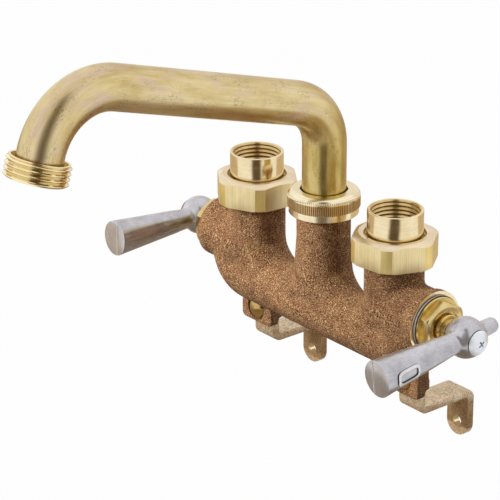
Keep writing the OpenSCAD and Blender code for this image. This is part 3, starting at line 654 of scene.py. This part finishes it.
def makeUnionNut(sideName, place):
    u = unionNut
    bm = bmesh.new()
    turn(bm, [(u["thread"], u["bottom"]), (u["radius"] - u["footChamfer"], u["bottom"]),
              (u["radius"], u["bottom"] + u["footChamfer"]), (u["radius"], u["top"] - u["chamfer"]),
              (u["topRadius"], u["top"]), (u["hole"] + u["holeChamfer"], u["top"]),
              (u["hole"], u["top"] - u["holeChamfer"]), (u["hole"], u["lip"]), (u["thread"], u["lip"])],
         u["sides"])
    millFlats(bm, u["halfFlats"], u["turn"][sideName] + 30)
    # upward faces painted paler as lit from above, lands painted deeper gold as shaded
    for f in bm.faces:
        upright = abs(f.normal.z) < 0.1
        land = upright and f.calc_center_median().xy.length > u["radius"] - u["landDepth"]
        f.material_index = 2 if f.normal.z > 0.3 else 1 if land else 0
    soften(bm, u["edge"], u["edgeAngle"])
    makePiece(bm, sideName + "InletNut", sideName + "_union_nut", "faucet_body",
              ["nut", "nutLand", "nutTop"], place, 40)


def makeTailpiece(sideName, place):
    t = tailpiece
    outline = [(t["bore"], t["foot"]), (t["bore"], t["threadFoot"])]
    for k in range(t["ridges"]):
        at = t["threadFoot"] + t["firstRidge"] + k * t["pitch"]
        outline += [(t["crest"], at), (t["crest"], at + t["crestEnd"]), (t["root"], at + t["rootStart"]),
                    (t["root"], at + t["rootEnd"])]
    outline += [(t["root"] - t["mouthIn"], t["top"] - t["mouthDepth"]), (t["rimInner"], t["top"]),
                (t["radius"] - t["rimChamfer"], t["top"]), (t["radius"], t["top"] - t["rimChamfer"]),
                (t["radius"], t["flange"]), (t["flangeRadius"], t["flange"]), (t["flangeRadius"], t["foot"])]
    bm = bmesh.new()
    turn(bm, outline, t["sides"])
    soften(bm, t["edge"], t["edgeAngle"], 1)
    # inner faces take the darker pipeThread brass: painted shade in the bore
    for f in bm.faces:
        f.material_index = 1 if f.calc_center_median().xy.length < t["rimInner"] - t["rimEdge"] else 0
    makePiece(bm, sideName + "InletTail", sideName + "_union_tailpiece", "faucet_body",
              ["turned", "pipeThread"], place)


for side, sideName in sides:
    inletPlace = Matrix.Translation((side * unionNut["spacing"], 0, 0))
    makeUnionNut(sideName, inletPlace)
    makeTailpiece(sideName, inletPlace)
print("inlet unions made")

# Bonnets
bonnet = {
    "foot": 58.1, "thread": 9.6, "threadChamfer": 0.6, "seat": 71.3, "flange": 11.9, "flangeRound": 0.3,
    "hexFoot": 72.3, "hexSunk": 0.4, "hexEnd": 76.8, "corner": 11.45, "halfFlats": 9.95, "shoulder": 1.5,
    "midOut": 0.4, "midDown": 0.45, "shoulderIn": 1.5, "turn": 2, "grooveOuter": 7.2, "grooveRound": 0.2,
    "grooveFoot": 75.3, "boss": 6.2, "bossEnd": 78.4, "bossRound": 0.4, "bore": 4.9, "sides": 96,
    "edge": 0.2, "edgeAngle": 14
}


def makeBonnet(side, sideName):
    b = bonnet
    bm = bmesh.new()
    sunk = b["hexFoot"] - b["hexSunk"]
    turn(bm, [(b["bore"], sunk), (b["corner"], sunk), (b["corner"], b["hexEnd"] - b["shoulder"]),
              (b["corner"] - b["midOut"] * b["shoulder"], b["hexEnd"] - b["midDown"] * b["shoulder"]),
              (b["corner"] - b["shoulderIn"] * b["shoulder"], b["hexEnd"]),
              (b["grooveOuter"] + b["grooveRound"], b["hexEnd"]),
              (b["grooveOuter"], b["hexEnd"] - b["grooveRound"]), (b["grooveOuter"], b["grooveFoot"]),
              (b["boss"], b["grooveFoot"]), (b["boss"], b["bossEnd"] - b["bossRound"]),
              (b["boss"] - b["bossRound"], b["bossEnd"]), (b["bore"], b["bossEnd"])], b["sides"])
    millFlats(bm, b["halfFlats"], b["turn"] + 30)
    soften(bm, b["edge"], b["edgeAngle"])
    turn(bm, [(b["bore"], b["foot"]), (b["thread"] - b["threadChamfer"], b["foot"]),
              (b["thread"], b["foot"] + b["threadChamfer"]), (b["thread"], b["seat"]),
              (b["flange"], b["seat"]),
              (b["flange"], b["hexFoot"] - b["flangeRound"]), (b["flange"] - b["flangeRound"], b["hexFoot"]),
              (b["bore"], b["hexFoot"])], b["sides"])
    makePiece(bm, sideName + "ValveBonnet", sideName + "_bonnet", "faucet_body",
              ["bonnetBrass"], onSide(side, alongX), 40)


def makeBonnetGasket(side, sideName):
    g = bonnetGasket
    bm = bmesh.new()
    turn(bm, [(g["bore"], g["foot"]), (g["radius"] - g["edge"], g["foot"]),
              (g["radius"], g["foot"] + g["edge"]), (g["radius"], g["top"] - g["edge"]),
              (g["radius"] - g["edge"], g["top"]), (g["bore"], g["top"])], bonnet["sides"])
    makePiece(bm, sideName + "PortGasket", sideName + "_bonnet_gasket", "faucet_body", ["fibre"],
              onSide(side, alongX), 50)


for side, sideName in sides:
    makeBonnet(side, sideName)
    makeBonnetGasket(side, sideName)
print("bonnets made")

# Handles
handle = {
    "hub": {"left": 86.32, "right": 88.32}, "ball": 8.75, "screwSeat": 6.8, "lever": 48.4, "neck": 4.1,
    "taper": 0.0819, "flat": 0.93, "overrun": 4.0, "edge": 0.45, "endWeld": 0.15,
    "endInsets": ((0.08, 0.6), (0.30, 0.4)), "tail": 17.2, "tailRadius": 3.6,
    "drop": {"left": -1, "right": 5}, "voxel": 0.38, "smooth": 4, "boreRadius": 5.15, "boreEnd": -6.4
}
neckBlend = {"from": 6.5, "to": 15, "squash": 0.6, "clear": 4.5, "smooth": 45}
leverSeam = {"x": -2.2, "width": 0.4, "raise": 0.12, "root": 0.5, "inset": 0.4}
leverRing = {"centre": 37.2, "turn": -1, "halfLength": 6.2, "halfWidth": 3.2, "stroke": 1.2, "raise": 0.5,
             "root": -0.5, "slope": 0.25, "squareness": 4, "points": 64}


def leverRadius(along):
    return handle["neck"] + handle["taper"] * along


def addLeverRing(bm):
    m = leverRing
    loops = []
    for inset, lift in ((-m["slope"], m["root"]), (0, m["raise"]), (m["stroke"], m["raise"]),
                        (m["stroke"] + m["slope"], m["root"])):
        ring = bmesh.ops.create_circle(bm, cap_ends=False, radius=1, segments=m["points"])["verts"]
        loops.append(list({e for v in ring for e in v.link_edges}))
        for v in ring:
            x, z = (math.copysign(abs(c) ** (2 / m["squareness"]), c) for c in v.co.xy)
            along = m["centre"] + x * (m["halfLength"] - inset)
            r = leverRadius(along)
            angle = math.radians(m["turn"]) + z * (m["halfWidth"] - inset) / r
            v.co = (handle["flat"] * (r + lift) * math.cos(angle), -along, (r + lift) * math.sin(angle))
    for k, (a, b) in enumerate(zip(loops, loops[1:] + loops[:1])):
        for f in bmesh.ops.bridge_loops(bm, edges=a + b)["faces"]:
            f.material_index = 2 if k == 1 else 3  # painted highlight on the top, painted shade along its walls


def addLeverSeam(bm):
    h, s = handle, leverSeam
    radius = leverRadius(h["lever"])
    half = radius * math.sqrt(1 - (s["x"] / (h["flat"] * radius)) ** 2) - s["inset"]
    before = set(bm.faces)
    block(bm, (s["x"] - s["width"] / 2, -h["lever"] - s["raise"], -half),
          (s["x"] + s["width"] / 2, -h["lever"] + s["root"], half))
    # the seam takes the pale leverMark grey: a painted highlight along the parting line
    for f in bm.faces:
        if f not in before:
            f.material_index = 2


def handleBlank():
    h, n = handle, neckBlend
    bm = bmesh.new()
    ball(bm, h["ball"], 64)
    lever = bmesh.new()
    reach = h["lever"] + h["overrun"]
    turn(lever, [(0, 0), (h["neck"], 0), (leverRadius(reach), reach), (0, reach)], 64, False)
    bmesh.ops.scale(lever, vec=(h["flat"], 1, 1), verts=lever.verts)
    rotated(lever, 90, "X")
    joinTo(bm, lever)
    tail = bmesh.new()
    tailEnd = (0, h["tail"] - h["tailRadius"], 0)
    rod(tail, h["tailRadius"], (0, 0, 0), tailEnd, steps=48)
    ball(tail, h["tailRadius"], 48, Matrix.Translation(tailEnd))
    joinTo(bm, tail)
    bm = fused(bm, h["voxel"])
    smoothed(bm, h["smooth"])
    neck = [v for v in bm.verts if abs(v.co.y) > n["clear"]
            and n["from"] < math.hypot(v.co.x, v.co.z * n["squash"], v.co.y) < n["to"]]
    smoothed(bm, n["smooth"], neck)
    smoothed(bm, h["smooth"])
    return bm


def makeHandle(side, sideName):
    h = handle
    bm = handleBlank()
    sliceOff(bm, (0, h["edge"] - h["lever"], 0), (0, -1, 0))
    bmesh.ops.remove_doubles(bm, verts=[v for v in bm.verts if v.is_boundary], dist=h["endWeld"])
    end = capHoles(bm)
    for inset, share in h["endInsets"]:
        bmesh.ops.inset_individual(bm, faces=end, thickness=inset, depth=share * h["edge"],
                                   use_even_offset=True)
    # the end face takes the darker leverEnd grey: painted shade
    for f in end:
        f.material_index = 1
    addLeverSeam(bm)
    addLeverRing(bm)
    rotated(bm, h["drop"][sideName], "X")
    hub = [f for f in bm.faces if f.calc_center_median().yz.length < h["ball"]]
    around = {e for f in hub for e in f.edges}
    corners = {v for f in hub for v in f.verts}
    sliceOff(bm, (h["screwSeat"], 0, 0), (1, 0, 0), geom=list(corners) + list(around) + hub)
    capHoles(bm)
    socket = bmesh.new()
    rod(socket, h["boreRadius"], (-h["ball"] - 1, 0, 0), (h["boreEnd"], 0, 0))
    bm = bored(bm, [socket])
    place = Matrix.Translation((h["hub"][sideName], 0, 0))
    makePiece(bm, sideName + "Lever", sideName + "_handle", sideName + "_handle_set",
              ["dieCast", "leverEnd", "leverMark", "groove"], onSide(side, place), 35)


for side, sideName in sides:
    makeHandle(side, sideName)
print("handles made")

# Handle screws
handleScrew = {
    "seat": {"left": 93.13, "right": 95.13}, "radius": 5.4, "height": 2.6, "shank": 2.0,
    "shankLength": 14.0, "rim": 0.6, "domeSteps": 14, "armLength": 2.5, "armWidth": 0.95,
    "recess": 1.9, "narrowing": (0.35, 0.6, 1), "turn": 35, "sides": 64
}


def makeHandleScrew(side, sideName):
    s = handleScrew
    outline = [(0, -s["shankLength"]), (s["shank"], -s["shankLength"]), (s["shank"], 0), (s["radius"], 0)]
    outline += domePoints(s["radius"], s["height"] - s["rim"], s["height"], s["domeSteps"])
    bm = bmesh.new()
    turn(bm, outline, s["sides"], False)
    for f in bm.faces:
        f.material_index = 1 if 0 < f.calc_center_median().z < s["rim"] else 0  # painted shadow around the rim, where the head meets the hub
    cross = []
    for k in range(2):
        arm = bmesh.new()
        bmesh.ops.create_cube(arm, size=1)
        bmesh.ops.scale(arm, vec=(2 * s["armLength"], s["armWidth"], 2 * s["recess"]), verts=arm.verts)
        bmesh.ops.scale(arm, vec=s["narrowing"], verts=[v for v in arm.verts if v.co.z < 0])
        bmesh.ops.translate(arm, vec=(0, 0, s["height"]), verts=arm.verts)
        rotated(arm, s["turn"] + 90 * k, "Z")
        cross.append(arm)
    bm = bored(bm, cross)
    place = Matrix.Translation((s["seat"][sideName], 0, 0)) @ alongX
    makePiece(bm, sideName + "LeverScrew", sideName + "_handle_screw", sideName + "_handle_set",
              ["chrome", "groove"], onSide(side, place), 32)


for side, sideName in sides:
    makeHandleScrew(side, sideName)
print("handle screws made")

# Legs and leg screws
leg = {"weld": 0.000002, "flatAngle": 1, "edge": 0.4, "edgeAngle": 40, "holeX": 48.5, "holeZ": -64.5,
       "holeRadius": 2.6, "holeMargin": 0.1}
legScrew = {"x": 48.5, "z": -34.2, "seat": 3.7, "radius": 5.3, "height": 3.6, "rimEdge": 0.1, "domeSteps": 16,
            "shank": 2.4, "length": 7.9, "sides": 64}


def makeLeg(side, sideName):
    bm = bmesh.new()
    bm.from_mesh(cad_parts[sideName + "_leg"].data)
    bmesh.ops.remove_doubles(bm, verts=bm.verts, dist=leg["weld"])
    bmesh.ops.transform(bm, matrix=valveFrame.inverted(), verts=bm.verts)
    bmesh.ops.dissolve_limit(bm, angle_limit=math.radians(leg["flatAngle"]), use_dissolve_boundaries=False,
                             verts=bm.verts, edges=bm.edges)
    # hole walls take the paler turned brass: drilled metal, with painted light on the lit inner wall
    for f in bm.faces:
        middle = f.calc_center_median()
        fromHole = math.hypot(middle.x - side * leg["holeX"], middle.z - leg["holeZ"])
        holeWall = fromHole < leg["holeRadius"] + leg["holeMargin"] and abs(f.normal.y) < 0.5
        f.material_index = 1 if holeWall else 0
    soften(bm, leg["edge"], leg["edgeAngle"], 3)
    makePiece(bm, sideName + "StrapLeg", sideName + "_leg", "faucet_body", ["leg", "turned"])


def makeLegScrew(side, sideName):
    s = legScrew
    outline = [(0, -s["length"]), (s["shank"], -s["length"]), (s["shank"], 0),
               (s["radius"] - s["rimEdge"], 0)]
    dome = domePoints(s["radius"], s["height"], s["height"], s["domeSteps"])
    outline += [(r, z) for r, z in dome if z > s["rimEdge"]]
    bm = bmesh.new()
    turn(bm, outline, s["sides"], False)
    place = Matrix.Translation((side * s["x"], s["seat"], s["z"])) @ Matrix.Rotation(math.radians(90), 4, "X")
    makePiece(bm, sideName + "StrapScrew", sideName + "_leg_screw", "faucet_body",
              ["screwShade"], place)


for side, sideName in sides:
    makeLeg(side, sideName)
    makeLegScrew(side, sideName)
print("legs made")

# Valve body casting
casting = {
    "inlet": 45.0, "neck": 12.7, "neckTop": 25.3, "neckLip": 15.35, "lipFoot": 21.3, "chamber": 13.0,
    "port": 13.9, "portRing": 66.1, "portFace": 70.1, "portStock": 1.5, "bridge": 12.5,
    "bridgeDrop": -15.4, "elbow": 10.0, "elbowX": 46.6, "elbowSteps": 24, "riser": 11.7, "riserTop": 33.0,
    "threadFoot": 28.0, "threadSunk": 1, "thread": 11.35, "flare": 13.3, "flareFoot": -7.7,
    "flareTop": 16.5, "valley": 22.5, "valleyTube": 12.0, "valleySteps": 40, "voxel": 0.62, "smooth": 3,
    "neckBore": 9.0, "boreFoot": 12.0, "overcut": 2, "faceDepth": 0.02
}
castingLug = {
    "x": 48.5, "half": 10.25, "front": 2.1, "back": 7.0, "foot": -41.0, "round": 2.2, "cheek": 9.4,
    "cheekSunk": 2, "cheekStep": 1.2, "legHalf": 6.7, "screwZ": -34.2, "counterbore": 5.65,
    "counterboreDepth": 1.6
}
castingBlend = {"low": -33, "high": 20, "halfWidth": 66, "smooth": 14}


def ringBend(bm, tube, radius, centre, start, angle, steps):
    bend = bmesh.new()
    bmesh.ops.create_circle(bend, cap_ends=False, radius=tube, segments=48,
                            matrix=Matrix.Translation((radius, 0, 0)))
    rotated(bend, start, "Y")
    bmesh.ops.spin(bend, geom=bend.verts[:] + bend.edges[:], cent=(0, 0, 0), axis=(0, 1, 0), dvec=(0, 0, 0),
                   angle=math.radians(angle), steps=steps, use_duplicate=False)
    capHoles(bend)
    bmesh.ops.translate(bend, vec=centre, verts=bend.verts)
    bmesh.ops.recalc_face_normals(bend, faces=bend.faces)
    joinTo(bm, bend)


def addValveSide(bm, side):
    c = casting
    x, stockEnd = side * c["inlet"], (side * (c["portFace"] + c["portStock"]), 0, 0)
    ball(bm, c["chamber"], 64, Matrix.Translation((x, 0, 0)))
    rod(bm, c["neck"], (x, 0, 0), (x, 0, c["neckTop"]))
    rod(bm, c["neckLip"], (x, 0, c["lipFoot"]), (x, 0, c["neckTop"]))
    rod(bm, c["chamber"], (x, 0, 0), stockEnd)
    rod(bm, c["port"], (side * c["portRing"], 0, 0), stockEnd)
    elbowCentre = (side * c["elbowX"], 0, c["bridgeDrop"] + c["elbow"])
    ringBend(bm, c["bridge"], c["elbow"], elbowCentre, 0 if side > 0 else 90, 90, c["elbowSteps"])
    valleyCentre = (side * c["valley"], 0, c["bridgeDrop"] + c["valley"])
    ringBend(bm, c["valleyTube"], c["valley"], valleyCentre, 0, 180, c["valleySteps"])


def addLug(bm, side):
    g, top = castingLug, casting["bridgeDrop"]
    x, inner, roundZ = side * g["x"], g["half"] - g["round"], g["foot"] + g["round"]
    block(bm, (x - g["half"], g["front"], roundZ), (x + g["half"], g["back"], top))
    block(bm, (x - g["half"] + g["round"], g["front"], g["foot"]),
          (x + g["half"] - g["round"], g["back"], top))
    for s in (-1, 1):
        cornerX = x + s * inner
        rod(bm, g["round"], (cornerX, g["front"], roundZ), (cornerX, g["back"], roundZ), steps=32)
        cheekX = sorted((x + s * g["legHalf"], x + s * g["half"]))
        block(bm, (cheekX[0], g["back"] - g["cheekSunk"], roundZ + g["cheekStep"]),
              (cheekX[1], g["cheek"], top))


def castingCutters():
    c, g = casting, castingLug
    cutters = []
    for side in (-1, 1):
        bore = bmesh.new()
        x = side * c["inlet"]
        rod(bore, c["neckBore"], (x, 0, c["boreFoot"]), (x, 0, c["neckTop"] + c["overcut"]))
        head = bmesh.new()
        lugX = side * g["x"]
        rod(head, g["counterbore"], (lugX, g["front"] - c["overcut"], g["screwZ"]),
            (lugX, g["front"] + g["counterboreDepth"], g["screwZ"]))
        cutters += [bore, head]
    return cutters


def makeCasting():
    c, blend = casting, castingBlend
    bm = bmesh.new()
    rod(bm, c["bridge"], (-c["elbowX"], 0, c["bridgeDrop"]), (c["elbowX"], 0, c["bridgeDrop"]))
    rod(bm, c["riser"], (0, 0, c["bridgeDrop"]), (0, 0, c["threadFoot"]))
    rod(bm, c["thread"], (0, 0, c["threadFoot"] - c["threadSunk"]), (0, 0, c["riserTop"]))
    rod(bm, c["flare"], (0, 0, c["flareFoot"]), (0, 0, c["flareTop"]), c["riser"])
    for side in (-1, 1):
        addValveSide(bm, side)
        addLug(bm, side)
    bm = fused(bm, c["voxel"])
    smoothed(bm, c["smooth"])
    smoothed(bm, blend["smooth"], [v for v in bm.verts if blend["low"] < v.co.z < blend["high"]
                                   and abs(v.co.x) < blend["halfWidth"]])
    for side in (-1, 1):
        sliceOff(bm, (side * c["portFace"], 0, 0), (side, 0, 0))
        capHoles(bm)
    bm = bored(bm, castingCutters())
    for f in bm.faces:
        atFace = abs(f.calc_center_median().x) > c["portFace"] - c["faceDepth"]
        f.material_index = 1 if atFace and abs(f.normal.x) > 0.9 else 0
    makePiece(bm, "bodyCasting", "valve_body", "faucet_body", ["cast", "turned"], angle=50)


makeCasting()
print("valve body made")

# Pieces that keep their CAD shape
kept = {"spout_collar": "turnedInside", "spout_o_ring": "rubber", "spout_washer": "greySeal"}
for side, sideName in sides:
    kept.update({sideName + "_" + part: mat for part, mat in (
        ("union_gasket", "rubber"), ("valve_seat", "turnedInside"), ("seat_washer", "rubber"),
        ("washer_holder", "turnedInside"), ("stem", "turnedInside"), ("stem_o_ring", "rubber"))})
for name, mat in kept.items():
    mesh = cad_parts[name].data
    mesh.materials.clear()
    mesh.materials.append(finish[mat])

# Camera
photoView = {"azimuth": 50.8585, "elevation": 22.5481, "roll": -0.1817, "distance": 0.99886,
             "target": (0.008480, -0.083415, 0.089892), "lens": 173.905, "sensor": 36}
camera = bpy.data.cameras.new("photoCamera")
camera.sensor_width = photoView["sensor"]
camera.lens = photoView["lens"]
cameraObject = bpy.data.objects.new("photoCamera", camera)
scene.collection.objects.link(cameraObject)
turnToView = (Matrix.Rotation(math.radians(photoView["azimuth"]), 4, "Z")
              @ Matrix.Rotation(math.radians(90 - photoView["elevation"]), 4, "X")
              @ Matrix.Rotation(math.radians(photoView["roll"]), 4, "Z"))
cameraPlace = Vector(photoView["target"]) + photoView["distance"] * turnToView.col[2].to_3d()
cameraObject.matrix_world = Matrix.Translation(cameraPlace) @ turnToView
scene.camera = cameraObject

# Floor and studio light
studio = {"floorZ": -0.0066, "floorSize": 6.0, "floorGrey": 0.12, "floorRough": 0.9, "floorGlow": 0.985,
          "ambient": 0.02, "aim": Vector((0, -0.06, 0.08)), "lampDistance": 1.3}
lamps = {
    "leftSoftbox": {"azimuth": -18, "elevation": 28, "size": (0.5, 0.5), "power": 23.5},
    "backStrip": {"azimuth": 155, "elevation": 25, "size": (0.4, 1.0), "power": 7.0},
    "topSoftbox": {"azimuth": 200, "elevation": 75, "size": (0.9, 0.9), "power": 3.0},
    "rightStrip": {"azimuth": 105, "elevation": 18, "size": (0.35, 0.6), "power": 1.6}
}
# Glowing sheets seen only in reflections: painted reflections. The dark brown ones paint the dark
# surroundings in front, underFaucet the faucet's shadow on the floor, the pale ones the room behind.
reflectionCards = {
    "frontFloor": {"azimuth": 48, "near": (0.17, 0.17), "far": (1.1, 1.05), "foot": 0.004, "top": 0.004,
                   "soft": 0.45, "colour": (0.115, 0.080, 0.046)},
    "behindCamera": {"azimuth": 48, "near": (1.15, 1.05), "far": (1.15, 1.05), "foot": 0.004, "top": 3.6,
                     "soft": 0.45, "colour": (0.115, 0.080, 0.046)},
    "underFaucet": {"azimuth": 47, "near": (-0.12, 0.24), "far": (0.12, 0.24), "foot": 0.005, "top": 0.005,
                    "soft": 0.2, "colour": (0.36, 0.28, 0.20)},
    "backFloor": {"azimuth": 231, "near": (0.03, 3.0), "far": (1.2, 3.0), "foot": 0.003, "top": 0.003,
                  "soft": 0.05, "colour": (0.62, 0.50, 0.34)},
    "backWall": {"azimuth": 205, "near": (1.3, 2.2), "far": (1.3, 2.2), "foot": 0.004, "top": 1.1,
                 "soft": 0.2, "colour": (0.84, 0.80, 0.76)}
}


def towards(azimuth, elevation):
    a, e = math.radians(azimuth), math.radians(elevation)
    return Vector((math.sin(a) * math.cos(e), -math.cos(a) * math.cos(e), math.sin(e)))


def seenDirectly(tree):
    path = node(tree, "LightPath").outputs
    seen = path["Is Camera Ray"]
    for kind in ("Is Glossy Ray", "Is Transmission Ray"):
        seen = node(tree, "Math", {0: seen, 1: path[kind]}, operation="MAXIMUM").outputs[0]
    return seen


def makeFloor():
    bm = bmesh.new()
    bmesh.ops.create_grid(bm, x_segments=1, y_segments=1, size=studio["floorSize"] / 2,
                          matrix=Matrix.Translation((0, 0, studio["floorZ"])))
    floor = looseObject(bm, "floor")
    mat, tree, shader = newFinish("paleFloor", 0.0)
    shader.inputs["Base Color"].default_value = (*grey(studio["floorGrey"]), 1)
    shader.inputs["Roughness"].default_value = studio["floorRough"]
    seen = seenDirectly(tree)
    share = node(tree, "Math", {0: seen, 1: studio["floorGlow"]}, operation="MULTIPLY").outputs[0]
    white = node(tree, "Emission", {"Color": (1, 1, 1, 1), "Strength": 1.0}).outputs[0]
    both = node(tree, "MixShader", {0: share, 1: shader.outputs[0], 2: white}).outputs[0]
    tree.links.new(both, tree.nodes["Material Output"].inputs["Surface"])
    floor.data.materials.append(mat)


def makeCard(name, spec):
    bm = bmesh.new()
    bmesh.ops.create_grid(bm, x_segments=24, y_segments=8, size=0.5)
    edge = bm.verts.layers.float.new("edge")
    out, across = towards(spec["azimuth"], 0), towards(spec["azimuth"] + 90, 0)
    middle = Vector((studio["aim"].x, studio["aim"].y, studio["floorZ"]))
    for v in bm.verts:
        v[edge] = 1 - 2 * abs(v.co.x)
        share = v.co.y + 0.5
        reach, width = (a + (b - a) * share for a, b in zip(spec["near"], spec["far"]))
        height = spec["foot"] + (spec["top"] - spec["foot"]) * share
        v.co = middle + out * reach + across * (v.co.x * width) + Vector((0, 0, height))
    card = looseObject(bm, name + "Card")
    mat, tree, _ = newFinish(name + "Card", 0.0)
    edgeFac = node(tree, "Attribute", attribute_name="edge").outputs["Fac"]
    inward = ranged(tree, edgeFac, 0.0, spec["soft"], 0.0, 1.0)
    faded = ramp(tree, inward, ((0.0, grey(1)), (1.0, spec["colour"])))  # white at its soft edges
    shown = node(tree, "Emission", {"Color": faded, "Strength": 1.0}).outputs[0]
    tree.links.new(shown, tree.nodes["Material Output"].inputs["Surface"])
    card.data.materials.append(mat)
    card.visible_camera = False
    card.visible_shadow = False
    card.visible_diffuse = False


def makeLamp(name, spec):
    lamp = bpy.data.lights.new(name, "AREA")
    lamp.shape = "RECTANGLE"
    lamp.size, lamp.size_y = spec["size"]
    lamp.energy = spec["power"]
    obj = bpy.data.objects.new(name, lamp)
    way = towards(spec["azimuth"], spec["elevation"])
    obj.matrix_world = (Matrix.Translation(studio["aim"] + way * studio["lampDistance"])
                        @ way.to_track_quat("Z", "Y").to_matrix().to_4x4())
    obj.visible_camera = False
    obj.visible_glossy = False  # bright metal mirrors the white studio, not the lamps
    scene.collection.objects.link(obj)


def makeWorld():
    world = bpy.data.worlds.new("studio")
    world.use_nodes = True
    tree = world.node_tree
    background = tree.nodes["Background"]
    strength = ranged(tree, seenDirectly(tree), 0.0, 1.0, studio["ambient"], 1.0)
    tree.links.new(strength, background.inputs["Strength"])
    background.inputs["Color"].default_value = (1, 1, 1, 1)
    scene.world = world


makeFloor()
for name, spec in reflectionCards.items():
    makeCard(name, spec)
for name, spec in lamps.items():
    makeLamp(name, spec)
makeWorld()
scene.view_settings.view_transform = "Standard"
print("studio made")
